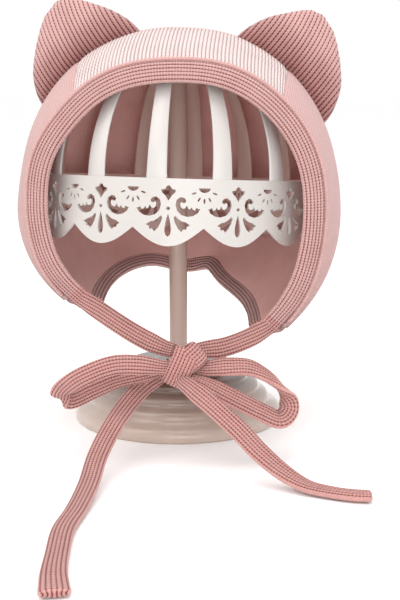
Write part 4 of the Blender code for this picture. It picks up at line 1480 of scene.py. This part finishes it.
@dataclass
class Studio:
    """A pale floor, soft light and the camera at the photograph's angle."""

    # The camera stands this far in front, up and to the right, and looks down by the pitch
    distance: float = 0.60
    height: float = 0.1777
    offset: float = 0.0117
    pitch: float = math.radians(10.8)
    focal_pixels: float = 1132.0
    image_height: float = 600.0
    sensor_mm: float = 36.0
    nearest: float = 10 * MM
    floor_half: float = 14.0
    world_light: float = 1.0
    softbox_side: float = 0.90
    # Where the softboxes point
    aim: tuple[float, float, float] = (0, 0, 0.12)
    # Each softbox's place, power in watts and tint
    softboxes: dict = field(default_factory=lambda: {
        "key_softbox": ((-0.45, -0.55, 1.00), 4.5, "#fff8f4"),
        "top_softbox": ((0.10, 0.05, 1.15), 5.0, "#ffffff"),
        "front_softbox": ((0.20, -1.20, 0.30), 5.0, "#ffffff"),
    })

    def card(self) -> bpy.types.Material:
        """Builds the floor's finish: matt white card, with a grain too fine to see from here.

        Returns:
            The card.
        """
        material, shader = new_material("white_card")
        place = add_node(material, "ShaderNodeTexCoord").outputs["Object"]
        grain = add_node(material, "ShaderNodeTexNoise", {0: place}, {"Scale": 300.0})
        tone = add_node(material, "ShaderNodeMix", {0: grain}, {6: linear("#fefefe"), 7: linear("#ffffff")},
                        data_type="RGBA")
        wire(shader, {"Base Color": tone.outputs[2]}, {"Roughness": 0.9, "Specular IOR Level": 0.1})
        return material

    def build_floor(self) -> None:
        """Builds the floor."""
        bm = bmesh.new()
        bmesh.ops.create_grid(bm, x_segments=1, y_segments=1, size=self.floor_half)
        mesh = bpy.data.meshes.new("floor")
        bm.to_mesh(mesh)
        bm.free()
        mesh.materials.append(self.card())
        floor = bpy.data.objects.new("floor", mesh)
        bpy.context.scene.collection.objects.link(floor)

    def build_lights(self) -> None:
        """Builds the softboxes and the even light all round."""
        for name, (place, power, tint) in self.softboxes.items():
            light = bpy.data.lights.new(name, "AREA")
            light.size = self.softbox_side
            light.energy = power
            light.color = linear(tint)[:3]
            lamp = bpy.data.objects.new(name, light)
            lamp.location = place
            lamp.rotation_euler = (Vector(self.aim) - Vector(place)).to_track_quat("-Z", "Y").to_euler()
            bpy.context.scene.collection.objects.link(lamp)
        world = bpy.data.worlds.new("studio")
        world.use_nodes = True
        wire(world.node_tree.nodes["Background"], {}, {0: linear("#ffffff"), 1: self.world_light})
        bpy.context.scene.world = world

    def build_camera(self) -> None:
        """Builds the camera, with its lens worked out from the photograph's perspective."""
        data = bpy.data.cameras.new("camera")
        data.sensor_fit = "VERTICAL"
        data.sensor_height = self.sensor_mm
        data.lens = self.focal_pixels * self.sensor_mm / self.image_height
        data.clip_start = self.nearest
        camera = bpy.data.objects.new("camera", data)
        camera.location = (self.offset, -self.distance, self.height)
        camera.rotation_euler = (math.pi / 2 - self.pitch, 0, 0)
        bpy.context.scene.collection.objects.link(camera)
        bpy.context.scene.camera = camera

    def build(self) -> None:
        """Builds the floor, lights and camera, with plain colours in the picture."""
        self.build_floor()
        self.build_lights()
        self.build_camera()
        bpy.context.scene.view_settings.view_transform = "Standard"
        bpy.context.scene.view_settings.look = "None"


def finishes() -> dict[str, bpy.types.Material]:
    """Builds every finish.

    Returns:
        Materials by their place on the hat and stand.
    """
    knits = {
        "rib": KnittedCotton("cotton_rib_crown", "#d9c8c6", "#8d6c6a", 1.9, 1.4, 0.35, groove_share=0.6,
                             painted_nape_shade="#e8bab5"),
        "jersey": KnittedCotton("cotton_jersey_sides", "#c4a19e", "#a57a77", 1.25, 1.2, 0.16, dots=0.8),
        "lining": KnittedCotton("cotton_jersey_lining", "#efc0ba", "#d79f98", 1.1, 1.1, 0.12, dots=0.5,
                                mottle=0.30),
        "ear": KnittedCotton("cotton_rib_ears", "#caa09c", "#64201b", 2.2, 1.5, 0.34, groove_share=0.5,
                             dots=1.0, root_painted_shade=0.52, root_mm=24.0),
        "binding": KnittedCotton("cotton_rib_binding", "#cda39f", "#701a15", STRIP_RIB_MM, 1.4, 0.45,
                                 dots=1.0, groove_share=0.6),
        "tie": KnittedCotton("cotton_rib_ties", "#c99791", "#7c1c16", STRIP_RIB_MM, 1.4, 0.45,
                             dots=1.0, groove_share=0.6),
    }
    stand = {
        "enamel": StovedEnamel("stoved_white_enamel", "#c3bfbb", "#bbb6b2", roughness=0.38, rear_painted_shade="#cdb0a6"),
        # The post's enamel is painted darker and warmer, as painted shade from the hat above it
        "post": StovedEnamel("post_enamel_painted_shade", "#cab3a8", "#bba196", roughness=0.34),
        "acrylic": MouldedAcrylic("moulded_off_white_acrylic", "#cdbdb2", "#a58b7e", "#4a2f24"),
    }
    return {place: finish.build() for place, finish in {**knits, **stand}.items()}


def main() -> None:
    """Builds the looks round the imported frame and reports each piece."""
    logging.basicConfig(level=logging.INFO, format="%(name)s: %(message)s")
    Studio().build()
    looks = finishes()
    form = HatForm()
    bindings = Bindings(form, looks["binding"])
    pieces = [
        *Panels(form, looks).build(),
        *bindings.build(),
        *Ears(form, looks["ear"]).build(),
        *Bow(bindings, looks["tie"]).build(),
        *HatStand(looks["enamel"], looks["post"], looks["acrylic"]).build(),
    ]
    for piece in pieces:
        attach(piece, BODY)
        LOG.info("%s: %d faces", piece.name, len(piece.data.polygons))


if __name__ == "__main__":
    main()
